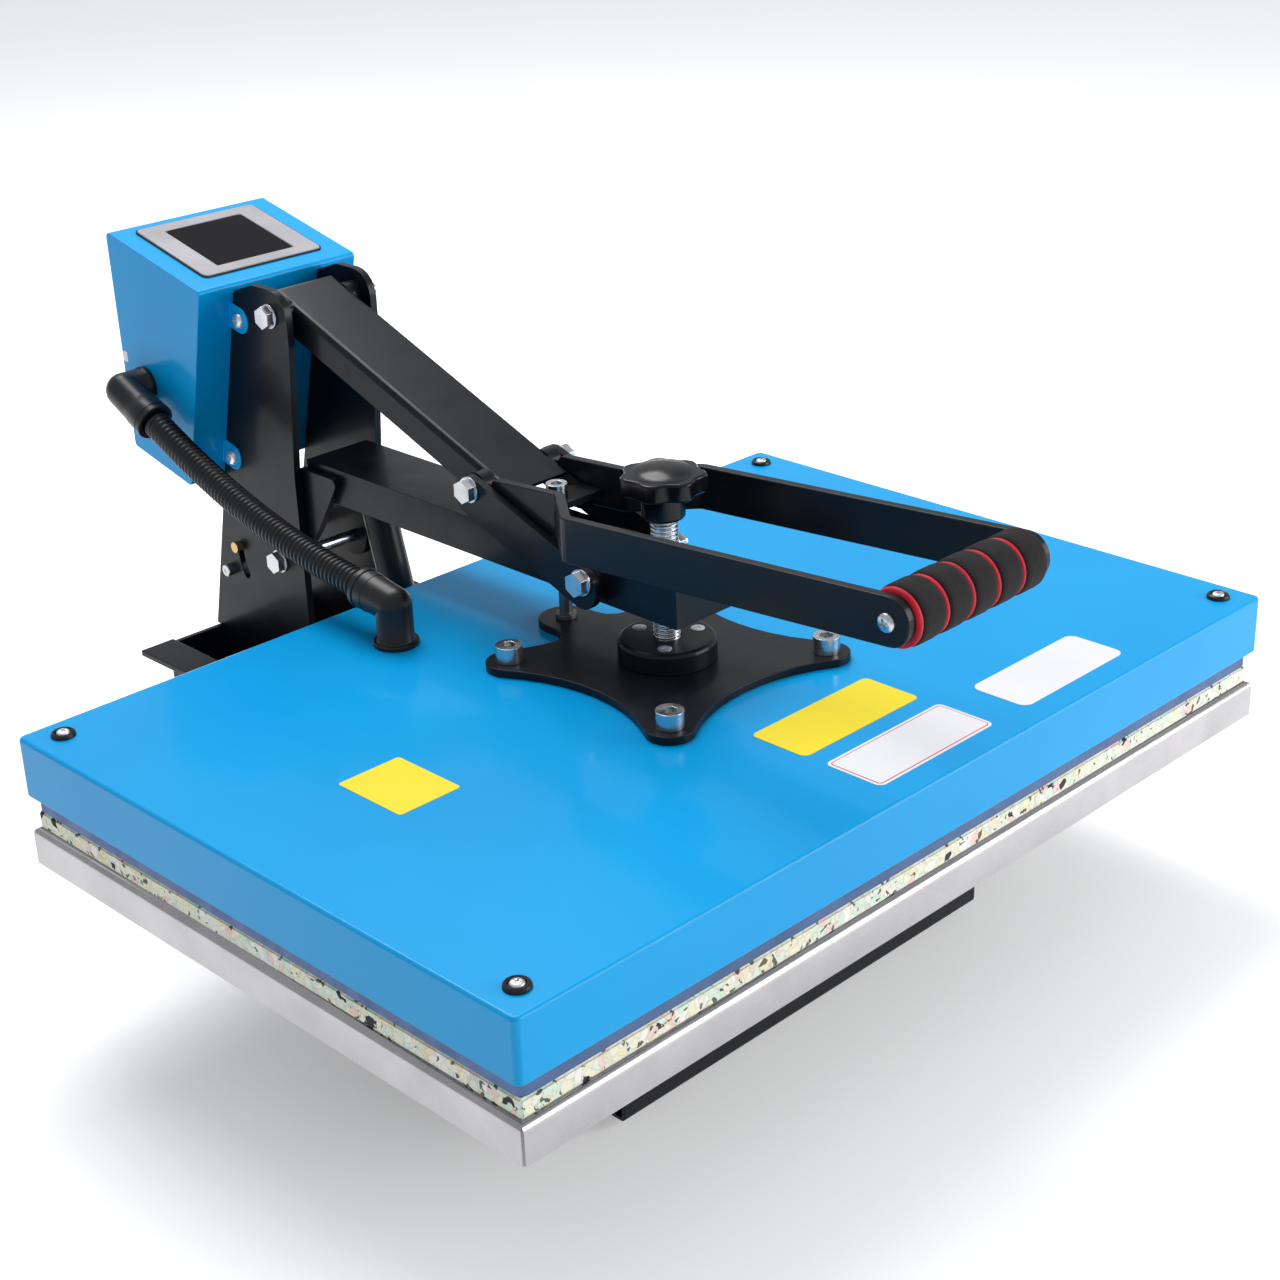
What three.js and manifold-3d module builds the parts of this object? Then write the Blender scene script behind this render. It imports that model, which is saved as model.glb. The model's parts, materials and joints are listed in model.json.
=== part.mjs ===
import * as THREE from 'three';
import { mergeVertices } from 'three/addons/utils/BufferGeometryUtils.js';
import Module from 'manifold-3d';

// A flat clamshell heat press, closed and locked. Millimetres, +Z up, the operator stands on -Y.
// Y counts from the middle of the platens and Z from the table, until the whole press is centred.

const wasm = await Module();
wasm.setup();

// Values that several pieces share
const gap = 0.3;
const overrun = 5;
const fine = 32;
const middling = 20;
const coarse = 16;
const cornerSteps = 5;
const bendSteps = 3;

// The lower bed sets both platens, and everything behind it is placed from its rear edge
const bedLength = 600;
const bedWidth = 400;
const bedRearY = bedWidth / 2;

// Base frame
const padRadius = 12;
const padHeight = 5;
const padSetback = 20;
const barLength = 306;
const barDepth = 40;
const barHeight = 45;
const barWall = 2.5;
const barCorner = 3;
const frontBarY = -90;
const rearBarBack = 165;
const rearBarY = bedRearY + rearBarBack;
const railInnerX = 74.5;
const railWidth = 26.5;
const railHeight = 60;
const railWall = 4;
const railFrontY = -110;
const railEndBack = 206;
const railLength = bedRearY + railEndBack - railFrontY;
const crossThick = 4;
const crossFrontBack = 102;
const crossFrontY = bedRearY + crossFrontBack;
const crossRearBack = 202;
const crossRearY = bedRearY + crossRearBack;
const railCorner = 1.5;

// Lower platen
const bedThick = 6;
const bedRibThick = 4;
const bedRibCount = 8;
const trayLap = 3.7;
const trayLength = bedLength + 2 * trayLap;
const trayWidth = bedWidth + 2 * trayLap;
const trayHeight = 21.85;
const traySheet = 1.8;
const trayBend = 4;
const trayCorner = 1.5;
const foamThick = 11;
const foamCorner = 6;

// Upper platen
const plateThick = 20;
const plateCorner = 5;
const plateShow = 10;
const coverLap = 4;
const coverLength = bedLength + 2 * coverLap;
const coverWidth = bedWidth + 2 * coverLap;
const coverHeight = 35.7;
const coverSheet = 1.5;
const coverBend = 2;
const coverCorner = 2;
const insulationInset = 2;
const insulationLength = bedLength - 2 * insulationInset;
const insulationWidth = bedWidth - 2 * insulationInset;

// Spider plate on the cover, with its screws and the guide pin
const spiderThick = 5;
const lobePlace = 64.5;
const lobeRadius = 14;
const spiderWaist = 60;
const guideX = 0;
const guideY = 85;
const guideRadius = 4;
const guideLength = 40;
const guideCollar = 6.5;
const guideCollarThick = 3;
const tabRadius = 17;
const tabFillet = 14;
const tabRise = 3;
const spiderBolt = 5;
const spiderHead = 8;
const spiderGrip = 10;
const stopBolt = 4;
const stopHead = 6.5;
const headHighShare = 1.25;
const keyShare = 0.55;

// Pressure screw
const flangeRadius = 28.8;
const flangeHeight = 13;
const flangeEdge = 2.5;
const screwRadius = 8;
const screwFootRadius = 12;
const screwFootHigh = 4;
const screwNeckRadius = 6;
const screwNeckLength = 20;
const hubRadius = 12.5;
const hubHigh = 16;
const hubBottomZ = 279;
const knobRadius = 25;
const knobHigh = 11;
const knobLobes = 7;
const knobScoop = 3.4;
const knobEdge = 1.5;
const crownHigh = 4;
const crownRadius = 19;
const nutLength = 40;

// Pivots of the toggle linkage, as Y and Z
const armPivotBack = 124;
const armPivotY = bedRearY + armPivotBack;
const armPivotZ = 177.5;
const leverPivotBack = 108;
const leverPivotY = bedRearY + leverPivotBack;
const leverPivotZ = 347.5;
const toggleTopY = 124;
const toggleTopZ = 276;
const toggleFootY = 31;
const toggleFootZ = 242.5;
const boltRadius = 4;
const hexRadius = 7.5;
const hexThick = 5.3;
const washerRadius = 8;
const washerThick = 1.6;
const boltTail = 4;

// Lower arm, its brackets and the limit pin
const armHalf = 24.5;
const armSheet = 3;
const armBottomZ = 227;
const armTopZ = 251.3;
const armFrontY = -32;
const armRearBack = 100;
const armRearY = bedRearY + armRearBack;
const bossRadius = 9;
const armBossRadius = 8.5;
const bossReach = 30.7;
const guidePlateThick = 4;
const guidePlateHalf = 16;
const guidePlay = 0.6;
const bracketThick = 5;
const bracketTopZ = 246;
const bracketFrontBack = 62;
const bracketFrontY = bedRearY + bracketFrontBack;
const bracketElbowBack = 87;
const bracketElbowY = bedRearY + bracketElbowBack;
const bracketElbowZ = 207;
const bracketLug = 14;
const limitBack = 170;
const limitY = bedRearY + limitBack;
const limitZ = 176.3;
const limitRadius = 3;
const limitLug = 9;
const limitReach = 41;
const limitHead = 3.9;
const limitHeadThick = 2.5;
const limitSpacer = 5;
const openAngle = 25;
const slotHalf = 3.5;
const cornerSmall = 4;
const cornerLarge = 12;

// Uprights
const sideInnerX = 31;
const sideThick = 5;
const uprightFrontBack = 99;
const uprightFrontY = bedRearY + uprightFrontBack;
const uprightLobe = 17;
const uprightNeckZ = 244;
const uprightRearBack = 145;
const uprightRearY = bedRearY + uprightRearBack;
const uprightRearZ = 357.5;
const uprightLean = 63.6;
const uprightCorner = 6;
const studBack = 183;
const studY = bedRearY + studBack;
const studZ = 156;
const studRadius = 4;
const studReach = 5;

// Lever: channel, stop bracket and stop bolt
const leverHalf = 24;
const leverSheet = 2.5;
const leverBend = 4;
const leverDepth = 20;
const leverAbove = 8.2;
const leverTail = 16;
const noseReach = 20.6;
const wallNoseY = 84;
const wallNoseZ = 255;
const wallHeelY = 102;
const stopPlateFrontY = 75;
const stopPlateDepth = 20;
const stopPlateZ = 266.5;
const stopPlateThick = 4;
const stopBoltY = 88;

// Handle bars and grip
const handleWide = 26.5;
const handleThick = 6;
const handleTopZ = 291.6;
const handleDrop = 8.38;
const handleRearY = 112;
const flareRearY = 56;
const flareFrontY = 22;
const handleHalf = 54.5;
const flareBend = 8;
const gripY = -206.7;
const gripTubeRadius = 12.5;
const gripTubeWall = 2;
const gripRadius = 16.5;
const gripRings = 5;
const gripGroove = 1.2;
const gripGrooveWide = 3;

// Toggles
const toggleAbove = 7.9;
const toggleBelow = 17.2;

// Gas strut
const strutFootBack = 22;
const strutFootY = bedRearY + strutFootBack;
const strutFootZ = 69;
const strutTopBack = 65;
const strutTopY = bedRearY + strutTopBack;
const strutTopZ = 237;
const strutPin = 4;
const strutPlay = 1.7;
const anchorRadius = 5;
const strutRadius = 11;
const strutWall = 1.5;
const strutLength = 144;
const strutNeck = 14;
const strutCap = 6;
const strutRodRadius = 4;
const pistonThick = 6;
const pistonRise = 8;
const eyeRadius = 9;
const eyeThick = 8;

// Control box
const boxHalf = 62.2;
const boxTopFrontZ = 362;
const boxTopRearBack = 245.5;
const boxTopRearY = bedRearY + boxTopRearBack;
const boxTopRearZ = 386;
const boxFootRearBack = 243;
const boxFootRearY = bedRearY + boxFootRearBack;
const boxFootRearZ = 239;
const boxFootFrontZ = 224;
const boxSheet = 1.5;
const boxCorner = 3;
const tabTopZ = 339;
const tabTopBack = 140;
const tabTopY = bedRearY + tabTopBack;
const tabLowZ = 241.5;
const tabLowBack = 164.5;
const tabLowY = bedRearY + tabLowBack;
const tabHalf = 8.5;
const tabReach = 22;
const bezelHalf = 46.5;
const bezelStart = 15.4;
const bezelEnd = 93.5;
const bezelThick = 1.2;
const bezelCorner = 4;
const screenHalf = 30;
const screenStart = 25;
const screenEnd = 83;
const screenThick = 0.5;
const screenSink = 0.8;
const inletHalf = 14;
const inletHigh = 60;
const inletZ = 262;
const inletFlange = 2.5;
const inletDeep = 28;
const inletRim = 5;
const socketHalf = 12;
const socketHigh = 16;
const socketSink = 16;
const bladeHalf = 2;
const bladeThick = 1.2;
const bladePitch = 7;
const rockerHalf = 9;
const rockerHigh = 20;
const rockerSink = 9;
const rockerSwell = 3;
const rockerRise = 1;
const rockerAxle = 1.5;
const socketMid = 15;
const rockerMid = 43;

// Elbows and the ribbed hose between them
const elbowBack = 218.5;
const elbowY = bedRearY + elbowBack;
const elbowZ = 287.2;
const elbowBase = 11;
const elbowBaseThick = 3;
const elbowRadius = 10.8;
const elbowBore = 7.5;
const elbowKneeX = -80;
const collarRadius = 12.3;
const collarLength = 14;
const coverElbowX = -85.7;
const coverElbowInset = 58.5;
const coverElbowY = bedRearY - coverElbowInset;
const coverElbowBase = 14;
const coverElbowKnee = 25;
const coverElbowReach = 28.5;
const hoseRadius = 9.25;
const hoseValley = 8;
const hoseBore = 7;
const hosePitch = 3.8;
const hoseSides = 8;
const hoseEnd = 18.5;
const boreStep = 5;
const hoseStartX = -80;
const hoseStartBack = 185;
const hoseStartY = bedRearY + hoseStartBack;
const hoseStartZ = 272;
const leaveSweep = 60;
const arriveSweep = 60;
const leaveShares = [0, -0.907, -0.42];
const arriveShares = [0, 0.993, 0.117];

// Colours taken from the photograph
const paint = (color, roughness, metalness) => new THREE.MeshStandardMaterial({ color, roughness, metalness });
const azure = paint(0x0b93d8, 0.25, 0.1);
const blackPaint = paint(0x16171b, 0.5, 0.1);
const zinc = paint(0xb9bcc0, 0.35, 0.9);
const yellowZinc = paint(0xc9a24a, 0.4, 0.9);
const stainless = paint(0xb8b6b8, 0.3, 0.9);
const aluminium = paint(0xa9adb3, 0.4, 0.8);
const rebond = paint(0xd9dcc4, 0.9, 0);
const rubber = paint(0x1b1b1d, 0.85, 0);
const plastic = paint(0x121214, 0.45, 0);
const greyPlastic = paint(0xa7a4ad, 0.5, 0);
const glass = paint(0x050507, 0.1, 0);
const wool = paint(0xd8d3c4, 0.95, 0);

const press = new THREE.Group();
press.name = 'heat_press';

function place(name, geometry, material, parent = press) {
  const mesh = new THREE.Mesh(geometry, material);
  mesh.name = name;
  parent.add(mesh);
  return mesh;
}

// Joining and cutting
function solidOf(geometry) {
  const bare = geometry.clone();
  bare.deleteAttribute('normal');
  bare.deleteAttribute('uv');
  const welded = mergeVertices(bare);
  return new wasm.Manifold(new wasm.Mesh({
    numProp: 3,
    vertProperties: new Float32Array(welded.attributes.position.array),
    triVerts: new Uint32Array(welded.index.array),
  }));
}

function geometryOf(solid) {
  const { vertProperties, triVerts } = solid.getMesh();
  const geometry = new THREE.BufferGeometry();
  geometry.setAttribute('position', new THREE.BufferAttribute(vertProperties, 3));
  geometry.setIndex(new THREE.BufferAttribute(triVerts, 1));
  geometry.computeVertexNormals();
  return geometry;
}

const join = (...all) => geometryOf(all.map(solidOf).reduce((one, next) => one.add(next)));
const cut = (body, ...tools) => geometryOf(tools.map(solidOf).reduce((one, next) => one.subtract(next), solidOf(body)));
const meet = (one, other) => geometryOf(solidOf(one).intersect(solidOf(other)));

// Outlines: corners are [u, v, radius], and rounded ones become short arcs
function filleted(corners, closed = true, steps = cornerSteps) {
  const points = [];
  corners.forEach(([u, v, radius = 0], index) => {
    const here = new THREE.Vector2(u, v);
    const last = corners.length - 1;
    if (radius === 0 || (!closed && (index === 0 || index === last))) {
      points.push(here);
      return;
    }
    const [backU, backV] = corners[(index + last) % corners.length];
    const [nextU, nextV] = corners[(index + 1) % corners.length];
    const back = new THREE.Vector2(backU, backV).sub(here).normalize();
    const next = new THREE.Vector2(nextU, nextV).sub(here).normalize();
    const half = Math.acos(back.dot(next)) / 2;
    const centre = back.clone().add(next).normalize().multiplyScalar(radius / Math.sin(half)).add(here);
    const start = back.clone().multiplyScalar(radius / Math.tan(half)).add(here).sub(centre);
    const turn = Math.sign(back.cross(next)) * -(Math.PI - 2 * half);
    for (let step = 0; step <= steps; step += 1) {
      points.push(start.clone().rotateAround(new THREE.Vector2(), turn * step / steps).add(centre));
    }
  });
  return points;
}

const rounded = (corners, steps) => new THREE.Shape(filleted(corners, true, steps));

function rectangle(width, height, radius) {
  const u = width / 2;
  const v = height / 2;
  return rounded([[-u, -v, radius], [u, -v, radius], [u, v, radius], [-u, v, radius]]);
}

function circle(u, v, radius, count = coarse) {
  const points = [];
  for (let step = 0; step < count; step += 1) {
    const angle = 2 * Math.PI * step / count;
    points.push(new THREE.Vector2(u + radius * Math.cos(angle), v + radius * Math.sin(angle)));
  }
  return new THREE.Path(points);
}

// A band of even width along a path of points, as an outline
function ribbon(path, width) {
  const sides = [[], []];
  path.forEach((here, index) => {
    const back = path[Math.max(index - 1, 0)];
    const next = path[Math.min(index + 1, path.length - 1)];
    const into = here.clone().sub(back).normalize();
    const out = next.clone().sub(here).normalize();
    const along = into.clone().add(out).normalize();
    const straight = Math.max(along.dot(into), along.dot(out));
    const normal = new THREE.Vector2(-along.y, along.x).multiplyScalar(width / 2 / straight);
    sides[0].push(here.clone().add(normal));
    sides[1].unshift(here.clone().sub(normal));
  });
  return new THREE.Shape([...sides[0], ...sides[1]]);
}

// Moves every edge of a convex outline inwards
function inset(corners, distance) {
  const middle = new THREE.Vector2();
  corners.forEach(([u, v]) => middle.add(new THREE.Vector2(u, v)));
  middle.divideScalar(corners.length);
  const edges = corners.map(([u, v], index) => {
    const start = new THREE.Vector2(u, v);
    const [endU, endV] = corners[(index + 1) % corners.length];
    const along = new THREE.Vector2(endU, endV).sub(start).normalize();
    const normal = new THREE.Vector2(-along.y, along.x);
    if (normal.dot(middle.clone().sub(start)) < 0) {
      normal.negate();
    }
    return { along, start: start.addScaledVector(normal, distance) };
  });
  return edges.map((edge, index) => {
    const before = edges[(index + edges.length - 1) % edges.length];
    const apart = edge.start.clone().sub(before.start);
    const reach = apart.cross(edge.along) / before.along.cross(edge.along);
    const corner = before.start.clone().addScaledVector(before.along, reach);
    return [corner.x, corner.y, corners[index][2]];
  });
}

const axisX = new THREE.Vector3(1, 0, 0);
const axisY = new THREE.Vector3(0, 1, 0);
const axisZ = new THREE.Vector3(0, 0, 1);

const slab = (shape, from, thickness) => new THREE.ExtrudeGeometry(shape, {
  depth: thickness,
  bevelEnabled: false,
}).translate(0, 0, from);

// An outline in Y and Z, extruded along X
function side(shape, from, thickness) {
  const toSide = new THREE.Matrix4().makeBasis(axisY, axisZ, axisX);
  return slab(shape, 0, thickness).applyMatrix4(toSide).translate(from, 0, 0);
}

// An outline in X and Z, extruded along Y
function front(shape, from, thickness) {
  const toFront = new THREE.Matrix4().makeBasis(axisX, axisZ, axisY.clone().negate());
  return slab(shape, 0, thickness).applyMatrix4(toFront).translate(0, from + thickness, 0);
}

function block(fromX, toX, fromY, toY, fromZ, toZ) {
  return new THREE.BoxGeometry(toX - fromX, toY - fromY, toZ - fromZ)
    .translate((fromX + toX) / 2, (fromY + toY) / 2, (fromZ + toZ) / 2);
}

// A round bar along X, Y or Z; the two places are those of its axis in the other directions
function bar(direction, radius, from, to, first, second, count = fine) {
  const geometry = new THREE.CylinderGeometry(radius, radius, to - from, count);
  const middle = (from + to) / 2;
  if (direction === 'x') {
    return geometry.rotateZ(-Math.PI / 2).translate(middle, first, second);
  }
  if (direction === 'y') {
    return geometry.translate(first, middle, second);
  }
  return geometry.rotateX(Math.PI / 2).translate(first, second, middle);
}

// A turned piece from [radius, height] points, standing on Z
function turned(profile, count = fine) {
  const points = profile.map(([radius, height]) => new THREE.Vector2(radius, height));
  return new THREE.LatheGeometry(points, count).rotateX(Math.PI / 2);
}

const both = [['left', -1], ['right', 1]];
const sideFrom = (sign, inner, thickness) => (sign > 0 ? inner : -inner - thickness);

// Heights from the table upwards
const barBottomZ = padHeight;
const barTopZ = barBottomZ + barHeight;
const railTopZ = barTopZ + railHeight;
const trayTopZ = railTopZ + trayHeight;
const foamTopZ = trayTopZ + foamThick;
const plateBottomZ = foamTopZ + gap;
const plateTopZ = plateBottomZ + plateThick;
const coverBottomZ = plateBottomZ + plateShow;
const coverTopZ = coverBottomZ + coverHeight;
const spiderTopZ = coverTopZ + spiderThick;

// Rubber feet under the two foot bars, and the bars as square tubes
for (const [end, centreY] of [['front', frontBarY], ['rear', rearBarY]]) {
  const tube = rounded([
    [centreY - barDepth / 2, barBottomZ, barCorner],
    [centreY + barDepth / 2, barBottomZ, barCorner],
    [centreY + barDepth / 2, barTopZ, barCorner],
    [centreY - barDepth / 2, barTopZ, barCorner],
  ], bendSteps);
  tube.holes.push(new THREE.Path([
    new THREE.Vector2(centreY - barDepth / 2 + barWall, barBottomZ + barWall),
    new THREE.Vector2(centreY - barDepth / 2 + barWall, barTopZ - barWall),
    new THREE.Vector2(centreY + barDepth / 2 - barWall, barTopZ - barWall),
    new THREE.Vector2(centreY + barDepth / 2 - barWall, barBottomZ + barWall),
  ]));
  place(`${end}_foot`, side(tube, -barLength / 2, barLength), blackPaint);
  for (const [hand, sign] of both) {
    const foot = turned([
      [0, 0],
      [padRadius - padHeight / 4, 0],
      [padRadius, padHeight],
      [0, padHeight],
    ], middling);
    const pad = place(`rubber_foot_${end}_${hand}`, foot, rubber);
    pad.position.set(sign * (barLength / 2 - padSetback), centreY, 0);
  }
}

// Channel rails, with the web inside, and the cross plates between the webs
for (const [hand, sign] of both) {
  const web = sign * railInnerX;
  const edge = sign * (railInnerX + railWidth);
  const inner = sign * (railInnerX + railWall);
  const rail = rounded([
    [web, barTopZ, railCorner],
    [edge, barTopZ],
    [edge, barTopZ + railWall],
    [inner, barTopZ + railWall],
    [inner, railTopZ - railWall],
    [edge, railTopZ - railWall],
    [edge, railTopZ],
    [web, railTopZ, railCorner],
  ], bendSteps);
  place(`base_rail_${hand}`, front(rail, railFrontY, railLength), blackPaint);
}
const crossPlate = block(-railInnerX, railInnerX, 0, crossThick, barTopZ + railCorner, railTopZ - railCorner);
place('cross_plate_front', crossPlate, blackPaint).position.y = crossFrontY;
place('cross_plate_rear', crossPlate.clone(), blackPaint).position.y = crossRearY;

// Uprights: lobed plates with the pivot holes and the curved slot of the limit pin
const lean = (uprightLean / (uprightRearZ - barTopZ - railHeight));
const rearEdge = (height) => uprightRearY + lean * (uprightRearZ - height);

function curvedSlot() {
  const reach = Math.hypot(limitY - armPivotY, limitZ - armPivotZ);
  const start = Math.atan2(limitZ - armPivotZ, limitY - armPivotY);
  const end = start - THREE.MathUtils.degToRad(openAngle);
  const points = [];
  const arc = (centreY, centreZ, radius, from, to) => {
    for (let step = 0; step < cornerSteps; step += 1) {
      const angle = from + (to - from) * step / cornerSteps;
      points.push(new THREE.Vector2(centreY + radius * Math.cos(angle), centreZ + radius * Math.sin(angle)));
    }
  };
  arc(armPivotY, armPivotZ, reach + slotHalf, start, end);
  const endY = armPivotY + reach * Math.cos(end);
  const endZ = armPivotZ + reach * Math.sin(end);
  arc(endY, endZ, slotHalf, end, end - Math.PI);
  arc(armPivotY, armPivotZ, reach - slotHalf, end, start);
  arc(limitY, limitZ, slotHalf, start + Math.PI, start);
  return new THREE.Path(points.reverse());
}

for (const [hand, sign] of both) {
  const outline = rounded([
    [crossFrontY + crossThick, barTopZ],
    [crossFrontY + crossThick, railTopZ - railCorner],
    [uprightFrontY, railTopZ - railCorner],
    [uprightFrontY, uprightNeckZ, cornerLarge],
    [leverPivotY - uprightLobe, leverPivotZ - uprightLobe, cornerLarge],
    [leverPivotY - uprightLobe, leverPivotZ + uprightLobe, uprightLobe - gap],
    [leverPivotY + uprightLobe, leverPivotZ + uprightLobe, cornerLarge],
    [uprightRearY, uprightRearZ, uprightCorner],
    [rearEdge(railTopZ - railCorner), railTopZ - railCorner],
    [crossRearY, railTopZ - railCorner],
    [crossRearY, barTopZ],
  ]);
  outline.holes.push(circle(armPivotY, armPivotZ, boltRadius + gap, middling));
  outline.holes.push(circle(leverPivotY, leverPivotZ, boltRadius + gap, middling));
  outline.holes.push(curvedSlot());
  const plate = side(outline, sideFrom(sign, sideInnerX, sideThick), sideThick);
  const face = sign * (sideInnerX + sideThick);
  const tip = face + sign * studReach;
  const root = face - sign * sideThick / 2;
  const stud = bar('x', studRadius, Math.min(root, tip), Math.max(root, tip), studY, studZ, coarse);
  place(`upright_${hand}`, join(plate, stud), blackPaint);
}

// Pans are folded from sheet, open below, with a bend along each top edge
function pan(length, width, height, corner, bend, sheet) {
  const u = length / 2 - bend;
  const v = width / 2 - bend;
  const shape = rounded([[-u, -v, corner], [u, -v, corner], [u, v, corner], [-u, v, corner]], bendSteps);
  const folded = new THREE.ExtrudeGeometry(shape, {
    depth: height,
    bevelThickness: bend,
    bevelSize: bend,
    bevelSegments: bendSteps,
  }).translate(0, 0, -bend);
  const under = block(-length, length, -width, width, -height, 0);
  const hollow = slab(rectangle(length - 2 * sheet, width - 2 * sheet, corner + bend - sheet), -height,
    2 * height - sheet);
  return cut(folded, under, hollow);
}

// Lower platen: ribbed bed plate, stainless tray over it and the foam pad
const bedRibs = [];
for (let rib = 0; rib < bedRibCount; rib += 1) {
  const ribY = (bedWidth - bedRibThick) * (rib / (bedRibCount - 1) - 1 / 2);
  bedRibs.push(block(-bedLength / 2, bedLength / 2, ribY - bedRibThick / 2, ribY + bedRibThick / 2,
    railTopZ + bedThick / 2, trayTopZ - traySheet));
}
const bedBase = slab(rectangle(bedLength, bedWidth, foamCorner), railTopZ, bedThick);
place('bed_plate', join(bedBase, ...bedRibs), blackPaint);
place('lower_tray', pan(trayLength, trayWidth, trayHeight, trayCorner, trayBend, traySheet), stainless)
  .position.z = railTopZ;
place('foam_pad', slab(rectangle(bedLength, bedWidth, foamCorner), trayTopZ, foamThick), rebond);

// Upper platen: heating plate, insulation and the painted cover, drilled for the four socket bolts
const spiderPlaces = [['front_left', -1, -1], ['front_right', 1, -1], ['rear_left', -1, 1], ['rear_right', 1, 1]];
const boltHoles = (from, to) => spiderPlaces.map(([, signX, signY]) => (
  bar('z', spiderBolt + gap, from, to, signX * lobePlace, signY * lobePlace, coarse)));

const hotPlate = slab(rectangle(bedLength, bedWidth, plateCorner), plateBottomZ, plateThick);
place('heating_plate', cut(hotPlate, ...boltHoles(plateTopZ - spiderGrip - gap, plateTopZ + overrun)), aluminium);

const padTopZ = coverTopZ - coverSheet;
const insulation = slab(rectangle(insulationLength, insulationWidth, plateCorner), plateTopZ, padTopZ - plateTopZ);
place('insulation_pad', cut(insulation, ...boltHoles(plateTopZ - overrun, padTopZ + overrun)), wool);

const wireHole = bar('z', elbowBore, coverTopZ - coverSheet - overrun, coverTopZ + overrun, coverElbowX,
  coverElbowY, coarse);
const coverPan = pan(coverLength, coverWidth, coverHeight, coverCorner, coverBend, coverSheet)
  .translate(0, 0, coverBottomZ);
place('upper_cover', cut(coverPan, wireHole, ...boltHoles(padTopZ - overrun, coverTopZ + overrun)), azure);

// Spider plate: four lobes joined by dished edges, with a tab behind for the guide pin
function spiderOutline() {
  const neck = spiderWaist - lobeRadius;
  const dish = (2 * lobePlace ** 2 - neck ** 2) / (2 * (lobePlace - neck));
  const sweep = Math.atan2(dish - lobePlace, -lobePlace);
  const points = [];
  for (let corner = 0; corner < 4; corner += 1) {
    const quarter = Math.PI / 2 * corner;
    const from = Math.PI / 2 - sweep;
    for (let step = 0; step <= 2 * cornerSteps; step += 1) {
      const angle = from + (sweep - from) * step / (2 * cornerSteps);
      points.push(new THREE.Vector2(lobePlace + lobeRadius * Math.cos(angle),
        lobePlace + lobeRadius * Math.sin(angle)).rotateAround(new THREE.Vector2(), quarter));
    }
    const dishRadius = dish - spiderWaist;
    const open = Math.atan2(lobePlace, dish - lobePlace);
    for (let step = 1; step < 2 * cornerSteps; step += 1) {
      const angle = open - 2 * open * step / (2 * cornerSteps);
      points.push(new THREE.Vector2(dishRadius * Math.sin(angle), dish - dishRadius * Math.cos(angle))
        .rotateAround(new THREE.Vector2(), quarter));
    }
  }
  return new THREE.Shape(points);
}

const spiderBase = slab(spiderOutline(), coverTopZ, spiderThick);
const tabRootY = spiderWaist + tabRise;
const tabOutline = rounded([
  [guideX - tabRadius, guideY],
  [guideX - tabRadius, tabRootY, tabFillet - gap],
  [guideX - tabRadius - tabFillet, tabRootY],
  [guideX - tabRadius - tabFillet, spiderWaist / 2],
  [guideX + tabRadius + tabFillet, spiderWaist / 2],
  [guideX + tabRadius + tabFillet, tabRootY],
  [guideX + tabRadius, tabRootY, tabFillet - gap],
  [guideX + tabRadius, guideY],
], bendSteps);
const guideTab = join(
  slab(tabOutline, coverTopZ, spiderThick),
  bar('z', tabRadius, coverTopZ, spiderTopZ, guideX, guideY),
);
place('spider_plate', cut(join(spiderBase, guideTab), ...boltHoles(coverTopZ - overrun, spiderTopZ + overrun)),
  blackPaint);

// A socket bolt hangs from the underside of its head, which lies at the origin
function socketScrew(length, shank, head) {
  const high = head * headHighShare;
  const body = join(
    bar('z', head, 0, high, 0, 0, middling),
    bar('z', shank, -length, high / 2, 0, 0, coarse),
  );
  return cut(body, bar('z', head * keyShare, high / 2, high + overrun, 0, 0, 6));
}

for (const [name, signX, signY] of spiderPlaces) {
  const screwLength = spiderTopZ - plateTopZ + spiderGrip;
  const screw = place(`spider_bolt_${name}`, socketScrew(screwLength, spiderBolt, spiderHead), zinc);
  screw.position.set(signX * lobePlace, signY * lobePlace, spiderTopZ);
}

const pin = place('guide_pin', turned([
  [0, 0],
  [guideCollar, 0],
  [guideCollar, guideCollarThick],
  [guideRadius, guideCollarThick],
  [guideRadius, guideLength - guideRadius / 4],
  [guideRadius * 3 / 4, guideLength],
  [0, guideLength],
], middling), zinc);
pin.position.set(guideX, guideY, spiderTopZ);

// Pressure screw: flange over its captive foot, then a neck for the knob
const pocketHigh = screwFootHigh + 2 * gap;
place('thrust_flange', turned([
  [screwFootRadius + gap, 0],
  [flangeRadius, 0],
  [flangeRadius, flangeHeight - flangeEdge],
  [flangeRadius - flangeEdge * 0.3, flangeHeight - flangeEdge * 0.3],
  [flangeRadius - flangeEdge, flangeHeight],
  [screwRadius + gap, flangeHeight],
  [screwRadius + gap, pocketHigh],
  [screwFootRadius + gap, pocketHigh],
  [screwFootRadius + gap, 0],
], 40), blackPaint).position.z = spiderTopZ;

const shoulder = hubBottomZ - spiderTopZ;
place('spindle', turned([
  [0, gap],
  [screwFootRadius, gap],
  [screwFootRadius, gap + screwFootHigh],
  [screwRadius, gap + screwFootHigh],
  [screwRadius, shoulder],
  [screwNeckRadius, shoulder],
  [screwNeckRadius, shoulder + screwNeckLength],
  [0, shoulder + screwNeckLength],
]), zinc).position.z = spiderTopZ;

function knobOutline(radius) {
  const points = [];
  const count = knobLobes * 6;
  for (let step = 0; step < count; step += 1) {
    const angle = 2 * Math.PI * step / count;
    const reach = radius - knobScoop * (1 - Math.cos(angle * knobLobes)) / 2;
    points.push(new THREE.Vector2(reach * Math.cos(angle), reach * Math.sin(angle)));
  }
  return new THREE.Shape(points);
}

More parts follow.
